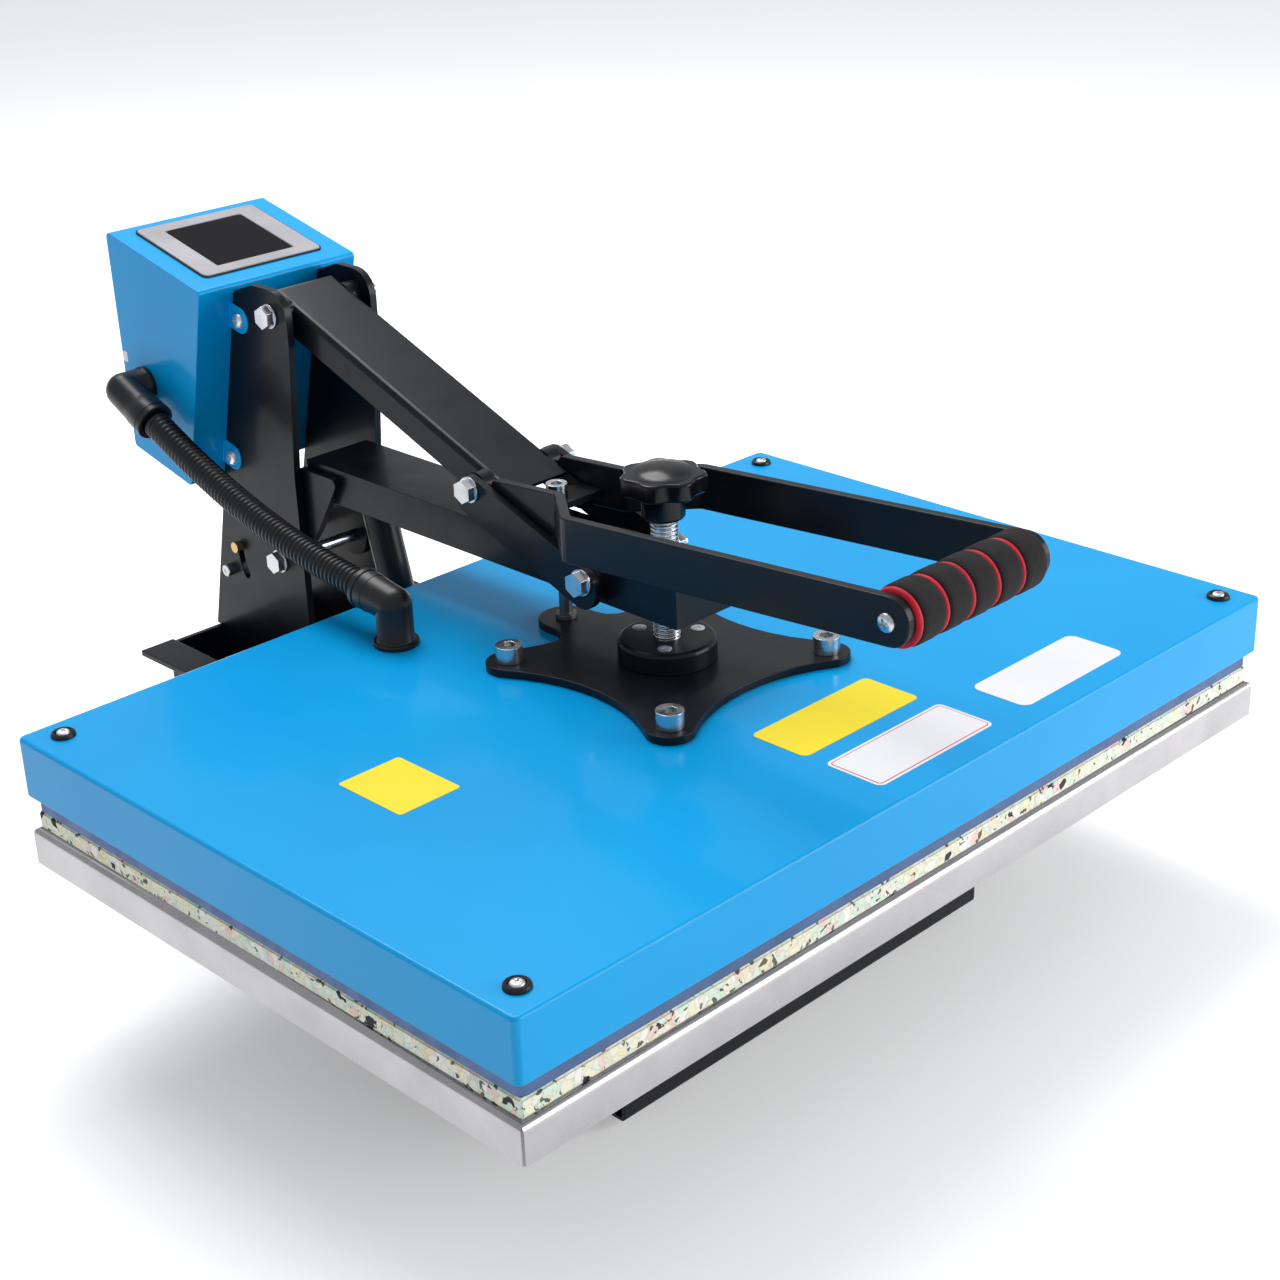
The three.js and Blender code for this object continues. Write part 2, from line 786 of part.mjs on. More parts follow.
const knobHead = new THREE.ExtrudeGeometry(knobOutline(knobRadius - knobEdge), {
  depth: knobHigh - 2 * knobEdge,
  bevelThickness: knobEdge,
  bevelSize: knobEdge,
  bevelSegments: 2,
}).translate(0, 0, hubHigh + knobEdge);
const knobTop = hubHigh + knobHigh;
const knobCore = turned([
  [0, 0],
  [hubRadius - knobEdge, 0],
  [hubRadius, knobEdge],
  [hubRadius, hubHigh],
  [crownRadius, hubHigh + knobHigh / 3],
  [crownRadius, knobTop],
  [crownRadius * 0.8, knobTop + crownHigh * 0.6],
  [crownRadius * 0.4, knobTop + crownHigh * 0.94],
  [0, knobTop + crownHigh],
]);
const knobBore = bar('z', screwNeckRadius + gap, -overrun, screwNeckLength + gap, 0, 0);
place('pressure_knob', cut(join(knobHead, knobCore), knobBore), plastic).position.z = hubBottomZ;

// Lower arm: a channel open below, closed in front, with the bosses of the toggle bolt
const channel = block(-armHalf, armHalf, armFrontY, armRearY, armBottomZ, armTopZ);
const armInside = block(armSheet - armHalf, armHalf - armSheet, armFrontY + armSheet, armRearY + overrun,
  armBottomZ - overrun, armTopZ - armSheet);
const armBoss = (from, to) => bar('x', armBossRadius, from, to, toggleFootY, toggleFootZ, middling);
const armWall = armHalf - armSheet;
const guideBridge = block(-armHalf + armSheet / 2, armHalf - armSheet / 2, guideY - guidePlateHalf,
  guideY + guidePlateHalf, armBottomZ, armBottomZ + guidePlateThick);
const armBody = join(cut(channel, armInside), armBoss(-bossReach, -armWall), armBoss(armWall, bossReach), guideBridge);
place('lower_arm', cut(
  armBody,
  bar('x', boltRadius + gap, -bossReach - overrun, bossReach + overrun, toggleFootY, toggleFootZ, middling),
  bar('z', screwRadius + 2 * gap, armTopZ - armSheet - overrun, armTopZ + overrun, 0, 0),
  bar('z', guideRadius + guidePlay, armBottomZ - overrun, armBottomZ + guidePlateThick + overrun, guideX, guideY,
    coarse),
), blackPaint);

const nutBody = block(-armWall, armWall, -nutLength / 2, nutLength / 2, armBottomZ, armTopZ - armSheet);
const nutBore = bar('z', screwRadius + gap, armBottomZ - overrun, armTopZ + overrun, 0, 0);
place('spindle_nut', cut(nutBody, nutBore), zinc);

// Arm brackets hang the arm on its pivot and carry the limit pin
for (const [hand, sign] of both) {
  const outline = rounded([
    [bracketFrontY, bracketTopZ, cornerSmall],
    [armRearY + cornerSmall, bracketTopZ, cornerLarge],
    [limitY - limitLug, limitZ + limitLug * 2, cornerLarge],
    [limitY + limitLug, limitZ + limitLug, limitLug - gap],
    [limitY + limitLug, limitZ - limitLug, limitLug - gap],
    [armPivotY + bracketLug / 2, armPivotZ - bracketLug, cornerLarge],
    [armPivotY - bracketLug, armPivotZ - bracketLug, bracketLug - gap],
    [armPivotY - bracketLug, armPivotZ, cornerSmall],
    [bracketElbowY, bracketElbowZ, cornerLarge],
  ]);
  outline.holes.push(circle(armPivotY, armPivotZ, boltRadius + gap, middling));
  outline.holes.push(circle(limitY, limitZ, limitRadius + gap, coarse));
  place(`arm_bracket_${hand}`, side(outline, sideFrom(sign, armHalf, bracketThick), bracketThick), blackPaint);
}

const limitBody = [bar('x', limitRadius, -limitReach, limitReach, 0, 0, coarse)];
limitBody.push(bar('x', limitSpacer, -armHalf, armHalf, 0, 0, coarse));
for (const [, sign] of both) {
  limitBody.push(bar('x', limitHead, Math.min(sign * limitReach, sign * (limitReach - limitHeadThick)),
    Math.max(sign * limitReach, sign * (limitReach - limitHeadThick)), 0, 0, coarse));
}
place('limit_pin', join(...limitBody), yellowZinc).position.set(0, limitY, limitZ);

// Pivot bolts: hexagon head and washer on the left, nut and washer on the right
const sideOuterX = sideInnerX + sideThick;
const hexStack = washerThick + hexThick;
const hexHead = (sign) => {
  const faceX = sign * sideOuterX;
  const seatX = faceX + sign * washerThick;
  const endX = faceX + sign * hexStack;
  return join(
    bar('x', washerRadius, Math.min(faceX, seatX), Math.max(faceX, seatX), 0, 0, middling),
    bar('x', hexRadius, Math.min(faceX, endX), Math.max(faceX, endX), 0, 0, 6),
  );
};

function pivotBolt(name, centreY, centreZ) {
  const shankEnd = sideOuterX + hexStack + boltTail;
  const shank = bar('x', boltRadius, -sideOuterX - washerThick, shankEnd, 0, 0, middling);
  place(`${name}_bolt`, join(shank, hexHead(-1)), zinc).position.set(0, centreY, centreZ);
  const bore = bar('x', boltRadius + gap, sideOuterX - overrun, shankEnd + overrun, 0, 0, middling);
  place(`${name}_nut`, cut(hexHead(1), bore), zinc).position.set(0, centreY, centreZ);
}
pivotBolt('lever_pivot', leverPivotY, leverPivotZ);
pivotBolt('arm_pivot', armPivotY, armPivotZ);
pivotBolt('arm_toggle', toggleFootY, toggleFootZ);

// The lever's own line runs from its pivot to the upper toggle bolts
const leverLine = new THREE.Vector2(toggleTopY - leverPivotY, toggleTopZ - leverPivotZ);
const leverNose = leverLine.length() + noseReach;
leverLine.normalize();
const leverUp = new THREE.Vector2(leverLine.y, -leverLine.x);
const onLever = (along, above) => {
  const point = new THREE.Vector2(leverPivotY, leverPivotZ);
  point.addScaledVector(leverLine, along).addScaledVector(leverUp, above);
  return [point.x, point.y];
};
const leverBelow = leverAbove - leverDepth;
const heightOnLever = (pointY, above) => {
  const [baseY, baseZ] = onLever(0, above);
  return baseZ + (pointY - baseY) * leverLine.y / leverLine.x;
};

const leverOutline = rounded([
  [...onLever(-leverTail, leverAbove), cornerSmall],
  [wallNoseY, heightOnLever(wallNoseY, leverAbove)],
  [wallNoseY, wallNoseZ, cornerSmall],
  [wallHeelY, wallNoseZ],
  [...onLever(-leverTail, leverBelow), cornerSmall],
]);
const farBelow = leverBelow - leverDepth;
const farTail = -leverTail - leverDepth;
const webUnder = leverAbove - leverSheet;
const hollowOutline = new THREE.Shape([
  onLever(farTail, farBelow),
  onLever(farTail, webUnder),
  onLever(leverNose, webUnder),
  onLever(leverNose, leverAbove + leverDepth),
  onLever(leverNose + leverDepth * 2, leverAbove + leverDepth),
  onLever(leverNose + leverDepth * 2, farBelow),
].map(([u, v]) => new THREE.Vector2(u, v)));
const leverWall = leverHalf - leverSheet;
const leverSection = rounded([
  [-leverHalf, farBelow - leverDepth],
  [leverHalf, farBelow - leverDepth],
  [leverHalf, leverAbove, leverBend],
  [-leverHalf, leverAbove, leverBend],
], bendSteps);
const alongLever = new THREE.Matrix4().makeBasis(
  axisX,
  new THREE.Vector3(0, leverUp.x, leverUp.y),
  new THREE.Vector3(0, leverLine.x, leverLine.y),
);
const leverBar = slab(leverSection, farTail, 2 * leverNose).applyMatrix4(alongLever)
  .translate(0, leverPivotY, leverPivotZ);
const channelSkin = cut(
  meet(leverBar, side(leverOutline, -leverHalf, 2 * leverHalf)),
  side(hollowOutline, -leverWall, 2 * leverWall),
);
const leverBosses = [[leverPivotY, leverPivotZ], [toggleTopY, toggleTopZ]].flatMap(([bossY, bossZ]) => [
  bar('x', bossRadius, -bossReach, -leverWall, bossY, bossZ, middling),
  bar('x', bossRadius, leverWall, bossReach, bossY, bossZ, middling),
]);
const stopPlate = block(-leverHalf, leverHalf, stopPlateFrontY, stopPlateFrontY + stopPlateDepth, stopPlateZ,
  stopPlateZ + stopPlateThick);
place('lever_channel', cut(
  join(channelSkin, stopPlate, ...leverBosses),
  bar('x', boltRadius + gap, -bossReach - overrun, bossReach + overrun, leverPivotY, leverPivotZ, middling),
  bar('x', boltRadius + gap, -bossReach - overrun, bossReach + overrun, toggleTopY, toggleTopZ, middling),
  bar('z', stopBolt + gap, stopPlateZ - overrun, stopPlateZ + stopPlateThick + overrun, 0, stopBoltY, coarse),
), blackPaint);

const stopSeat = stopPlateZ + stopPlateThick;
place('stop_bolt', socketScrew(stopSeat - armTopZ - gap, stopBolt, stopHead), zinc)
  .position.set(0, stopBoltY, stopSeat);

// Handle bars: flat bars bent outwards past the channel, with round ends at the grip
const handleRise = handleDrop / handleRearY;
const handleTop = (pointY) => handleTopZ - handleRise * pointY;
const gripZ = handleTop(gripY) - handleWide / 2;
const handleFrontY = gripY - handleWide / 2;
const handleProfile = rounded([
  [handleRearY, handleTop(handleRearY), cornerSmall],
  [handleFrontY, handleTop(handleFrontY), handleWide / 2 - gap],
  [handleFrontY, handleTop(handleFrontY) - handleWide, handleWide / 2 - gap],
  [handleRearY, handleTop(handleRearY) - handleWide, cornerSmall],
], 2 * cornerSteps);
for (const [hand, sign] of both) {
  const lug = leverHalf + handleThick / 2;
  const route = filleted([
    [sign * lug, handleRearY + overrun],
    [sign * lug, flareRearY, flareBend],
    [sign * handleHalf, flareFrontY, flareBend],
    [sign * handleHalf, handleFrontY - overrun],
  ], false, bendSteps);
  const plan = slab(ribbon(route, handleThick), 0, 2 * handleTopZ);
  const profile = side(handleProfile, -2 * handleHalf, 4 * handleHalf);
  place(`handle_bar_${hand}`, meet(plan, profile), blackPaint);
}

// The grip's tube stands between the bars, with a foam sleeve that has a groove at the start of each part
const gripHalf = handleHalf - handleThick / 2;
const tubeBore = bar('x', gripTubeRadius - gripTubeWall, -gripHalf - overrun, gripHalf + overrun, 0, 0, middling);
place('grip_tube', cut(bar('x', gripTubeRadius, -gripHalf, gripHalf, 0, 0), tubeBore), zinc)
  .position.set(0, gripY, gripZ);

const gripPitch = 2 * gripHalf / gripRings;
const sleeve = [[gripTubeRadius + gap, -gripHalf]];
for (let ring = 0; ring < gripRings; ring += 1) {
  const start = ring * gripPitch - gripHalf;
  sleeve.push([gripRadius - gripGroove, start]);
  sleeve.push([gripRadius - gripGroove, start + gripGrooveWide]);
  sleeve.push([gripRadius, start + gripGrooveWide]);
  sleeve.push([gripRadius, start + gripPitch]);
}
sleeve.push([gripTubeRadius + gap, gripHalf]);
sleeve.push([gripTubeRadius + gap, -gripHalf]);
place('grip_foam', turned(sleeve, 28).rotateY(Math.PI / 2), rubber).position.set(0, gripY, gripZ);

// Toggles: rounded bars from the arm up to the lever, and the stub bolts at their upper ends
const toggleLine = new THREE.Vector2(toggleTopY - toggleFootY, toggleTopZ - toggleFootZ);
const toggleLength = toggleLine.length();
toggleLine.normalize();
const toggleUp = new THREE.Vector2(-toggleLine.y, toggleLine.x);
const onToggle = (along, above) => {
  const point = new THREE.Vector2(toggleFootY, toggleFootZ);
  point.addScaledVector(toggleLine, along).addScaledVector(toggleUp, above);
  return [point.x, point.y];
};
const toggleEnd = (toggleAbove + toggleBelow) / 2;
for (const [hand, sign] of both) {
  const outline = rounded([
    [...onToggle(-toggleEnd, toggleAbove), toggleEnd - gap],
    [...onToggle(toggleLength + toggleEnd, toggleAbove), toggleEnd - gap],
    [...onToggle(toggleLength + toggleEnd, -toggleBelow), toggleEnd - gap],
    [...onToggle(-toggleEnd, -toggleBelow), toggleEnd - gap],
  ]);
  outline.holes.push(circle(toggleFootY, toggleFootZ, boltRadius + gap, middling));
  outline.holes.push(circle(toggleTopY, toggleTopZ, boltRadius + gap, middling));
  place(`toggle_${hand}`, side(outline, sideFrom(sign, sideInnerX, sideThick), sideThick), blackPaint);
  const innerX = sign * sideInnerX;
  const seatX = sign * (sideOuterX + washerThick);
  const stub = bar('x', boltRadius, Math.min(innerX, seatX), Math.max(innerX, seatX), 0, 0, middling);
  place(`toggle_bolt_${hand}`, join(stub, hexHead(sign)), zinc).position.set(0, toggleTopY, toggleTopZ);
}

// Gas strut from the rod between the rails to the pin across the arm, on its own tilted line
const anchor = bar('x', anchorRadius, -railInnerX, railInnerX, 0, 0, middling);
place('strut_anchor_rod', anchor, zinc).position.set(0, strutFootY, strutFootZ);
const upperPin = bar('x', strutPin, -armWall, armWall, 0, 0, middling);
place('strut_upper_pin', upperPin, zinc).position.set(0, strutTopY, strutTopZ);

const strut = new THREE.Group();
strut.position.set(0, strutFootY, strutFootZ);
strut.rotation.x = -Math.atan2(strutTopY - strutFootY, strutTopZ - strutFootZ);
press.add(strut);
const strutSpan = Math.hypot(strutTopY - strutFootY, strutTopZ - strutFootZ);
const tubeTop = strutNeck + strutLength;
const boreRadius = strutRadius - strutWall;
const strutTube = turned([
  [0, strutNeck],
  [strutRadius, strutNeck],
  [strutRadius, tubeTop],
  [strutRodRadius + gap, tubeTop],
  [strutRodRadius + gap, tubeTop - strutCap],
  [boreRadius, tubeTop - strutCap],
  [boreRadius, strutNeck + strutCap],
  [0, strutNeck + strutCap],
]);
const lowerEye = join(
  bar('x', eyeRadius, -eyeThick / 2, eyeThick / 2, 0, 0, middling),
  block(-eyeThick / 2, eyeThick / 2, -eyeThick / 2, eyeThick / 2, 0, strutNeck + strutCap / 2),
);
const eyeHole = (radius, height) => bar('x', radius, -eyeThick, eyeThick, 0, height, middling);
place('strut_cylinder', cut(join(strutTube, lowerEye), eyeHole(anchorRadius + gap, 0)), blackPaint, strut);

const pistonFoot = strutNeck + strutCap + pistonRise;
const rodBody = join(
  turned([
    [0, pistonFoot],
    [boreRadius - gap, pistonFoot],
    [boreRadius - gap, pistonFoot + pistonThick],
    [strutRodRadius, pistonFoot + pistonThick],
    [strutRodRadius, strutSpan - eyeRadius / 2],
    [0, strutSpan - eyeRadius / 2],
  ]),
  bar('x', eyeRadius, -eyeThick / 2, eyeThick / 2, 0, strutSpan, middling),
);
place('strut_rod', cut(rodBody, eyeHole(strutPin + strutPlay, strutSpan)), zinc, strut);

// Control box: a folded shell behind the uprights, held by four tabs on their outer faces
const boxFrontY = (height) => rearEdge(height) + gap;
const boxCorners = [
  [boxFrontY(boxTopFrontZ), boxTopFrontZ, boxCorner],
  [boxTopRearY, boxTopRearZ, boxCorner],
  [boxFootRearY, boxFootRearZ, boxCorner],
  [boxFrontY(boxFootFrontZ), boxFootFrontZ, boxCorner],
];
const boxInside = inset(boxCorners, boxSheet).map(([u, v]) => new THREE.Vector2(u, v));
const boxShell = cut(
  side(rounded(boxCorners, bendSteps), -boxHalf, 2 * boxHalf),
  side(new THREE.Shape(boxInside), boxSheet - boxHalf, 2 * (boxHalf - boxSheet)),
);
const leanAngle = Math.atan(lean);
const tabs = [];
for (const [tabY, tabZ] of [[tabTopY, tabTopZ], [tabLowY, tabLowZ]]) {
  for (const [, sign] of both) {
    const outline = rounded([
      [-tabHalf, -tabHalf, tabHalf - gap],
      [tabReach, -tabHalf],
      [tabReach, tabHalf],
      [-tabHalf, tabHalf, tabHalf - gap],
    ]);
    const tab = side(outline, sideFrom(sign, sideOuterX, boxSheet), boxSheet);
    tabs.push(tab.rotateX(leanAngle).translate(0, tabY, tabZ));
  }
}
const tabTrim = side(new THREE.Shape(boxInside), -boxHalf, 2 * boxHalf);
const trimmedTabs = tabs.map((tab) => cut(tab, tabTrim));

const rearLean = Math.atan2(boxTopRearY - boxFootRearY, boxTopRearZ - boxFootRearZ);
const inletFrame = new THREE.Group();
inletFrame.position.set(0, boxFootRearY, boxFootRearZ);
inletFrame.rotation.x = -rearLean;
press.add(inletFrame);
const inletBase = inletZ - boxFootRearZ;
const inletPocket = block(-inletHalf - gap, inletHalf + gap, -boxSheet - overrun, overrun, inletBase - gap,
  inletBase + inletHigh + gap).rotateX(-rearLean).translate(0, boxFootRearY, boxFootRearZ);
const elbowHole = bar('x', elbowBore, -boxHalf - overrun, boxSheet + overrun - boxHalf, elbowY, elbowZ, coarse);
place('control_box', cut(join(boxShell, ...trimmedTabs), inletPocket, elbowHole), azure);

// Touch panel let into the sloping top
const panelFrame = new THREE.Group();
panelFrame.position.set(0, boxFrontY(boxTopFrontZ), boxTopFrontZ);
panelFrame.rotation.x = Math.atan2(boxTopRearZ - boxTopFrontZ, boxTopRearY - boxFrontY(boxTopFrontZ));
press.add(panelFrame);
const bezelSpan = bezelEnd - bezelStart;
const screenSpan = screenEnd - screenStart;
const bezelBody = slab(rectangle(2 * bezelHalf, bezelSpan, bezelCorner), gap, bezelThick)
  .translate(0, (bezelStart + bezelEnd) / 2, 0);
const screenSeat = gap + bezelThick - screenSink;
const screenMiddle = (screenStart + screenEnd) / 2;
const screenCut = block(-screenHalf - gap, screenHalf + gap, screenStart - gap, screenEnd + gap, screenSeat,
  bezelThick + overrun);
place('touch_bezel', cut(bezelBody, screenCut), greyPlastic, panelFrame);
const screenBody = slab(rectangle(2 * screenHalf, screenSpan, boxCorner), screenSeat + gap, screenThick);
place('touch_screen', screenBody.translate(0, screenMiddle, 0), glass, panelFrame);

// Mains inlet with its socket and three blades, and the rocker switch above it
const flangeBody = block(-inletHalf - inletRim, inletHalf + inletRim, gap, gap + inletFlange,
  inletBase - inletRim, inletBase + inletHigh + inletRim);
const inletBody = block(-inletHalf, inletHalf, -inletDeep, gap + inletFlange / 2, inletBase, inletBase + inletHigh);
const socketZ = inletBase + socketMid;
const rockerZ = inletBase + rockerMid;
const faceY = gap + inletFlange;
const socketCut = block(-socketHalf, socketHalf, faceY - socketSink, faceY + overrun, socketZ - socketHigh / 2,
  socketZ + socketHigh / 2);
const rockerCut = block(-rockerHalf - gap, rockerHalf + gap, faceY - rockerSink, faceY + overrun,
  rockerZ - rockerHigh / 2 - rockerRise, rockerZ + rockerHigh / 2 + rockerRise);
const blades = [-1, 0, 1].map((step) => block(
  step * bladePitch - bladeThick,
  step * bladePitch + bladeThick,
  faceY - socketSink - overrun / 2,
  faceY - inletFlange * 2,
  socketZ - bladeHalf,
  socketZ + bladeHalf,
));
const inletShell = cut(join(flangeBody, inletBody), socketCut, rockerCut);
place('inlet_module', join(inletShell, ...blades), plastic, inletFrame);

const rockerOutline = rounded([
  [-rockerSink / 3, -rockerHigh / 2 + rockerRise],
  [-rockerSink / 3, rockerHigh / 2 - rockerRise],
  [rockerSwell, rockerHigh / 2 - rockerRise, rockerRise],
  [rockerSwell / 2, 0],
  [rockerSwell, rockerRise - rockerHigh / 2, rockerRise],
], bendSteps);
const rocker = side(rockerOutline, -rockerHalf, 2 * rockerHalf);
const rockerStem = block(-rockerHalf, rockerHalf, gap - rockerSink * 2 / 3, 0, -rockerAxle, rockerAxle);
place('switch_rocker', join(rocker, rockerStem), plastic, inletFrame)
  .position.set(0, faceY - rockerSink / 3, rockerZ);

// Elbows: a flanged foot, a knee and a collar, all bored through
function elbow(foot, knee, mouth, footRadius) {
  const run = (start, end, radius, count = coarse) => {
    const along = end.clone().sub(start);
    const piece = new THREE.CylinderGeometry(radius, radius, along.length(), count);
    const turn = new THREE.Quaternion().setFromUnitVectors(axisY, along.clone().normalize());
    const middle = start.clone().add(end).divideScalar(2);
    return piece.applyQuaternion(turn).translate(middle.x, middle.y, middle.z);
  };
  const ball = (radius) => new THREE.SphereGeometry(radius, coarse, coarse / 2).translate(knee.x, knee.y, knee.z);
  const footWay = knee.clone().sub(foot).normalize();
  const outWay = mouth.clone().sub(knee).normalize();
  const collarStart = mouth.clone().addScaledVector(outWay, -collarLength);
  const body = join(
    run(foot, foot.clone().addScaledVector(footWay, elbowBaseThick), footRadius, middling),
    run(foot, knee, elbowRadius),
    ball(elbowRadius),
    run(knee, mouth, elbowRadius),
    run(collarStart, mouth, collarRadius),
  );
  const footOut = foot.clone().addScaledVector(footWay, -overrun);
  const mouthOut = mouth.clone().addScaledVector(outWay, overrun);
  return cut(body, run(footOut, knee, elbowBore), ball(elbowBore), run(knee, mouthOut, elbowBore));
}

// The hose leaves and arrives straight, square to the collars, and sweeps between
const hoseStart = new THREE.Vector3(hoseStartX, hoseStartY, hoseStartZ);
const hoseFinish = new THREE.Vector3(coverElbowX, coverElbowY + coverElbowReach, coverTopZ + coverElbowKnee + gap);
const leaveWay = new THREE.Vector3(...leaveShares).normalize();
const arriveWay = new THREE.Vector3(...arriveShares).normalize();
hoseFinish.z += (coverElbowReach * arriveShares[2]) / arriveShares[1];
const leaveEnd = hoseStart.clone().addScaledVector(leaveWay, hoseEnd);
const arriveEnd = hoseFinish.clone().addScaledVector(arriveWay, hoseEnd);
const hoseRoute = new THREE.CurvePath();
hoseRoute.add(new THREE.LineCurve3(hoseStart, leaveEnd));
hoseRoute.add(new THREE.CubicBezierCurve3(
  leaveEnd,
  leaveEnd.clone().addScaledVector(leaveWay, leaveSweep),
  arriveEnd.clone().addScaledVector(arriveWay, arriveSweep),
  arriveEnd,
));
hoseRoute.add(new THREE.LineCurve3(arriveEnd, hoseFinish));

const boxMouth = hoseStart.clone().addScaledVector(leaveWay, -gap);
const boxElbow = elbow(
  new THREE.Vector3(-boxHalf, elbowY, elbowZ),
  new THREE.Vector3(elbowKneeX, elbowY, elbowZ),
  boxMouth,
  elbowBase,
);
place('box_elbow', boxElbow, plastic);
const coverMouth = hoseFinish.clone().addScaledVector(arriveWay, -gap);
const coverElbow = elbow(
  new THREE.Vector3(coverElbowX, coverElbowY, coverTopZ),
  new THREE.Vector3(coverElbowX, coverElbowY, coverTopZ + coverElbowKnee),
  coverMouth,
  coverElbowBase,
);
place('cover_elbow', coverElbow, plastic);

// Ribbed hose: outer rings that rise and fall along the route, and plain rings for the bore
function ribbedHose(curve) {
  const length = curve.getLength();
  const ribs = Math.round(length / hosePitch);
  const rings = [];
  const addRing = (share, radius) => {
    const along = curve.getTangentAt(share).normalize();
    const across = new THREE.Vector3().crossVectors(axisX, along).normalize();
    const other = new THREE.Vector3().crossVectors(along, across);
    const middle = curve.getPointAt(share);
    const ring = [];
    for (let corner = 0; corner < hoseSides; corner += 1) {
      const angle = 2 * Math.PI * corner / hoseSides;
      const point = middle.clone().addScaledVector(across, radius * Math.cos(angle));
      ring.push(point.addScaledVector(other, radius * Math.sin(angle)));
    }
    rings.push(ring);
  };
  addRing(0, hoseValley);
  for (let rib = 0; rib < ribs; rib += 1) {
    addRing((rib + 1 / 4) / ribs, hoseRadius);
    addRing((rib + 3 / 4) / ribs, hoseRadius * 0.5 + hoseValley * 0.5);
  }
  addRing(1, hoseValley);
  const boreRings = Math.ceil(ribs / boreStep);
  for (let step = boreRings; step >= 0; step -= 1) {
    addRing(step / boreRings, hoseBore);
  }
  const positions = rings.flat().flatMap((point) => [point.x, point.y, point.z]);
  const index = [];
  rings.forEach((ring, place) => {
    const here = place * hoseSides;
    const next = ((place + 1) % rings.length) * hoseSides;
    for (let corner = 0; corner < hoseSides; corner += 1) {
      const beside = (corner + 1) % hoseSides;
      index.push(here + corner, here + beside, next + corner);
      index.push(here + beside, next + beside, next + corner);
    }
  });
  const geometry = new THREE.BufferGeometry();
  geometry.setAttribute('position', new THREE.Float32BufferAttribute(positions, 3));
  geometry.setIndex(index);
  geometry.computeVertexNormals();
  return geometry;
}
place('hose', ribbedHose(hoseRoute), plastic);

// The origin lies in the middle of the whole press, on the table
press.updateMatrixWorld(true);
const bounds = new THREE.Box3().setFromObject(press, true);
const centre = bounds.getCenter(new THREE.Vector3());
press.position.set(-centre.x, -centre.y, -bounds.min.z);

export default press;
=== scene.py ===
import json
import math

import bmesh
import bpy
from mathutils import Matrix, Vector

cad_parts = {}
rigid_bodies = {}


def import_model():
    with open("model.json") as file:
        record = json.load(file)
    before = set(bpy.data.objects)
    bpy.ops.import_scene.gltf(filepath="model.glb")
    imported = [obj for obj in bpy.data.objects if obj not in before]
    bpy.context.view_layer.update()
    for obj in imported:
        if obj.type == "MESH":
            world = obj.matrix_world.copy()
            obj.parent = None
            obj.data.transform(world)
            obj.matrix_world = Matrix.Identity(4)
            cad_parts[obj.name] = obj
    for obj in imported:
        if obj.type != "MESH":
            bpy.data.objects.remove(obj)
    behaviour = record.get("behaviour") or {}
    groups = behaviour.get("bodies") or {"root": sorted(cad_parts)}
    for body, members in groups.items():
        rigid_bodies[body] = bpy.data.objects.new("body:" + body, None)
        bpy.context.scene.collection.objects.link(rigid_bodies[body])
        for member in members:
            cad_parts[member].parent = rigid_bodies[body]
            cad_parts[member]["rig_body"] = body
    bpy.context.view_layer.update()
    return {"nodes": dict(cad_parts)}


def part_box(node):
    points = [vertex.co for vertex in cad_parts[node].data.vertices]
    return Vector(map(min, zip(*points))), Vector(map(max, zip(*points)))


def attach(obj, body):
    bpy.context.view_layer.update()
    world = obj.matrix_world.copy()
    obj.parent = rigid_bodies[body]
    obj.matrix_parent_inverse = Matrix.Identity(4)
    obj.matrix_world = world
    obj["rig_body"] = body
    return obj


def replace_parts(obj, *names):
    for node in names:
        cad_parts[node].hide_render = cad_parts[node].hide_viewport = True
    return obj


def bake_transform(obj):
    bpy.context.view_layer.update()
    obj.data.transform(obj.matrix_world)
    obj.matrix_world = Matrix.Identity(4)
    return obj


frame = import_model()
nodes = frame["nodes"]

MM = 0.001
cover_low, cover_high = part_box("upper_cover")
MID_Y = (cover_low.y + cover_high.y) / 2
COVER_TOP = cover_high.z


def at(x, y, z):
    """A point in millimetres, from the middle of the platens and the table, as metres in the row frame."""
    return Vector((x * MM, y * MM + MID_Y, z * MM))


def on_cover(x, y, above=0.0):
    """A point on the cover's top, or a little above it."""
    point = at(x, y, 0)
    point.z = COVER_TOP + above * MM
    return point


# Camera, solved from the photograph: azimuth, elevation and roll in degrees, and its place in millimetres
CAMERA_ANGLES = (-44.2535, 24.3219, -2.0214)
CAMERA_PLACE = (-821.213, -820.385, 728.738)
FOCAL_PIXELS = 2220.36
PHOTO_PIXELS = 1280
SENSOR_WIDTH = 36
CLIP_NEAR, CLIP_FAR = 0.05, 50


def make_camera():
    azimuth, elevation, roll = (math.radians(angle) for angle in CAMERA_ANGLES)
    back = Vector((math.sin(azimuth) * math.cos(elevation), -math.cos(azimuth) * math.cos(elevation),
                   math.sin(elevation)))
    right = Vector((math.cos(azimuth), math.sin(azimuth), 0))
    up = back.cross(right)
    rolled_right = right * math.cos(roll) + up * math.sin(roll)
    rolled_up = -right * math.sin(roll) + up * math.cos(roll)
    data = bpy.data.cameras.new("photo_camera")
    data.sensor_width = SENSOR_WIDTH
    data.lens = SENSOR_WIDTH * FOCAL_PIXELS / PHOTO_PIXELS
    data.clip_start = CLIP_NEAR
    data.clip_end = CLIP_FAR
    camera = bpy.data.objects.new("photo_camera", data)
    turn = Matrix((rolled_right, rolled_up, back)).transposed()
    camera.matrix_world = Matrix.Translation(at(*CAMERA_PLACE)) @ turn.to_4x4()
    bpy.context.scene.collection.objects.link(camera)
    bpy.context.scene.camera = camera


make_camera()


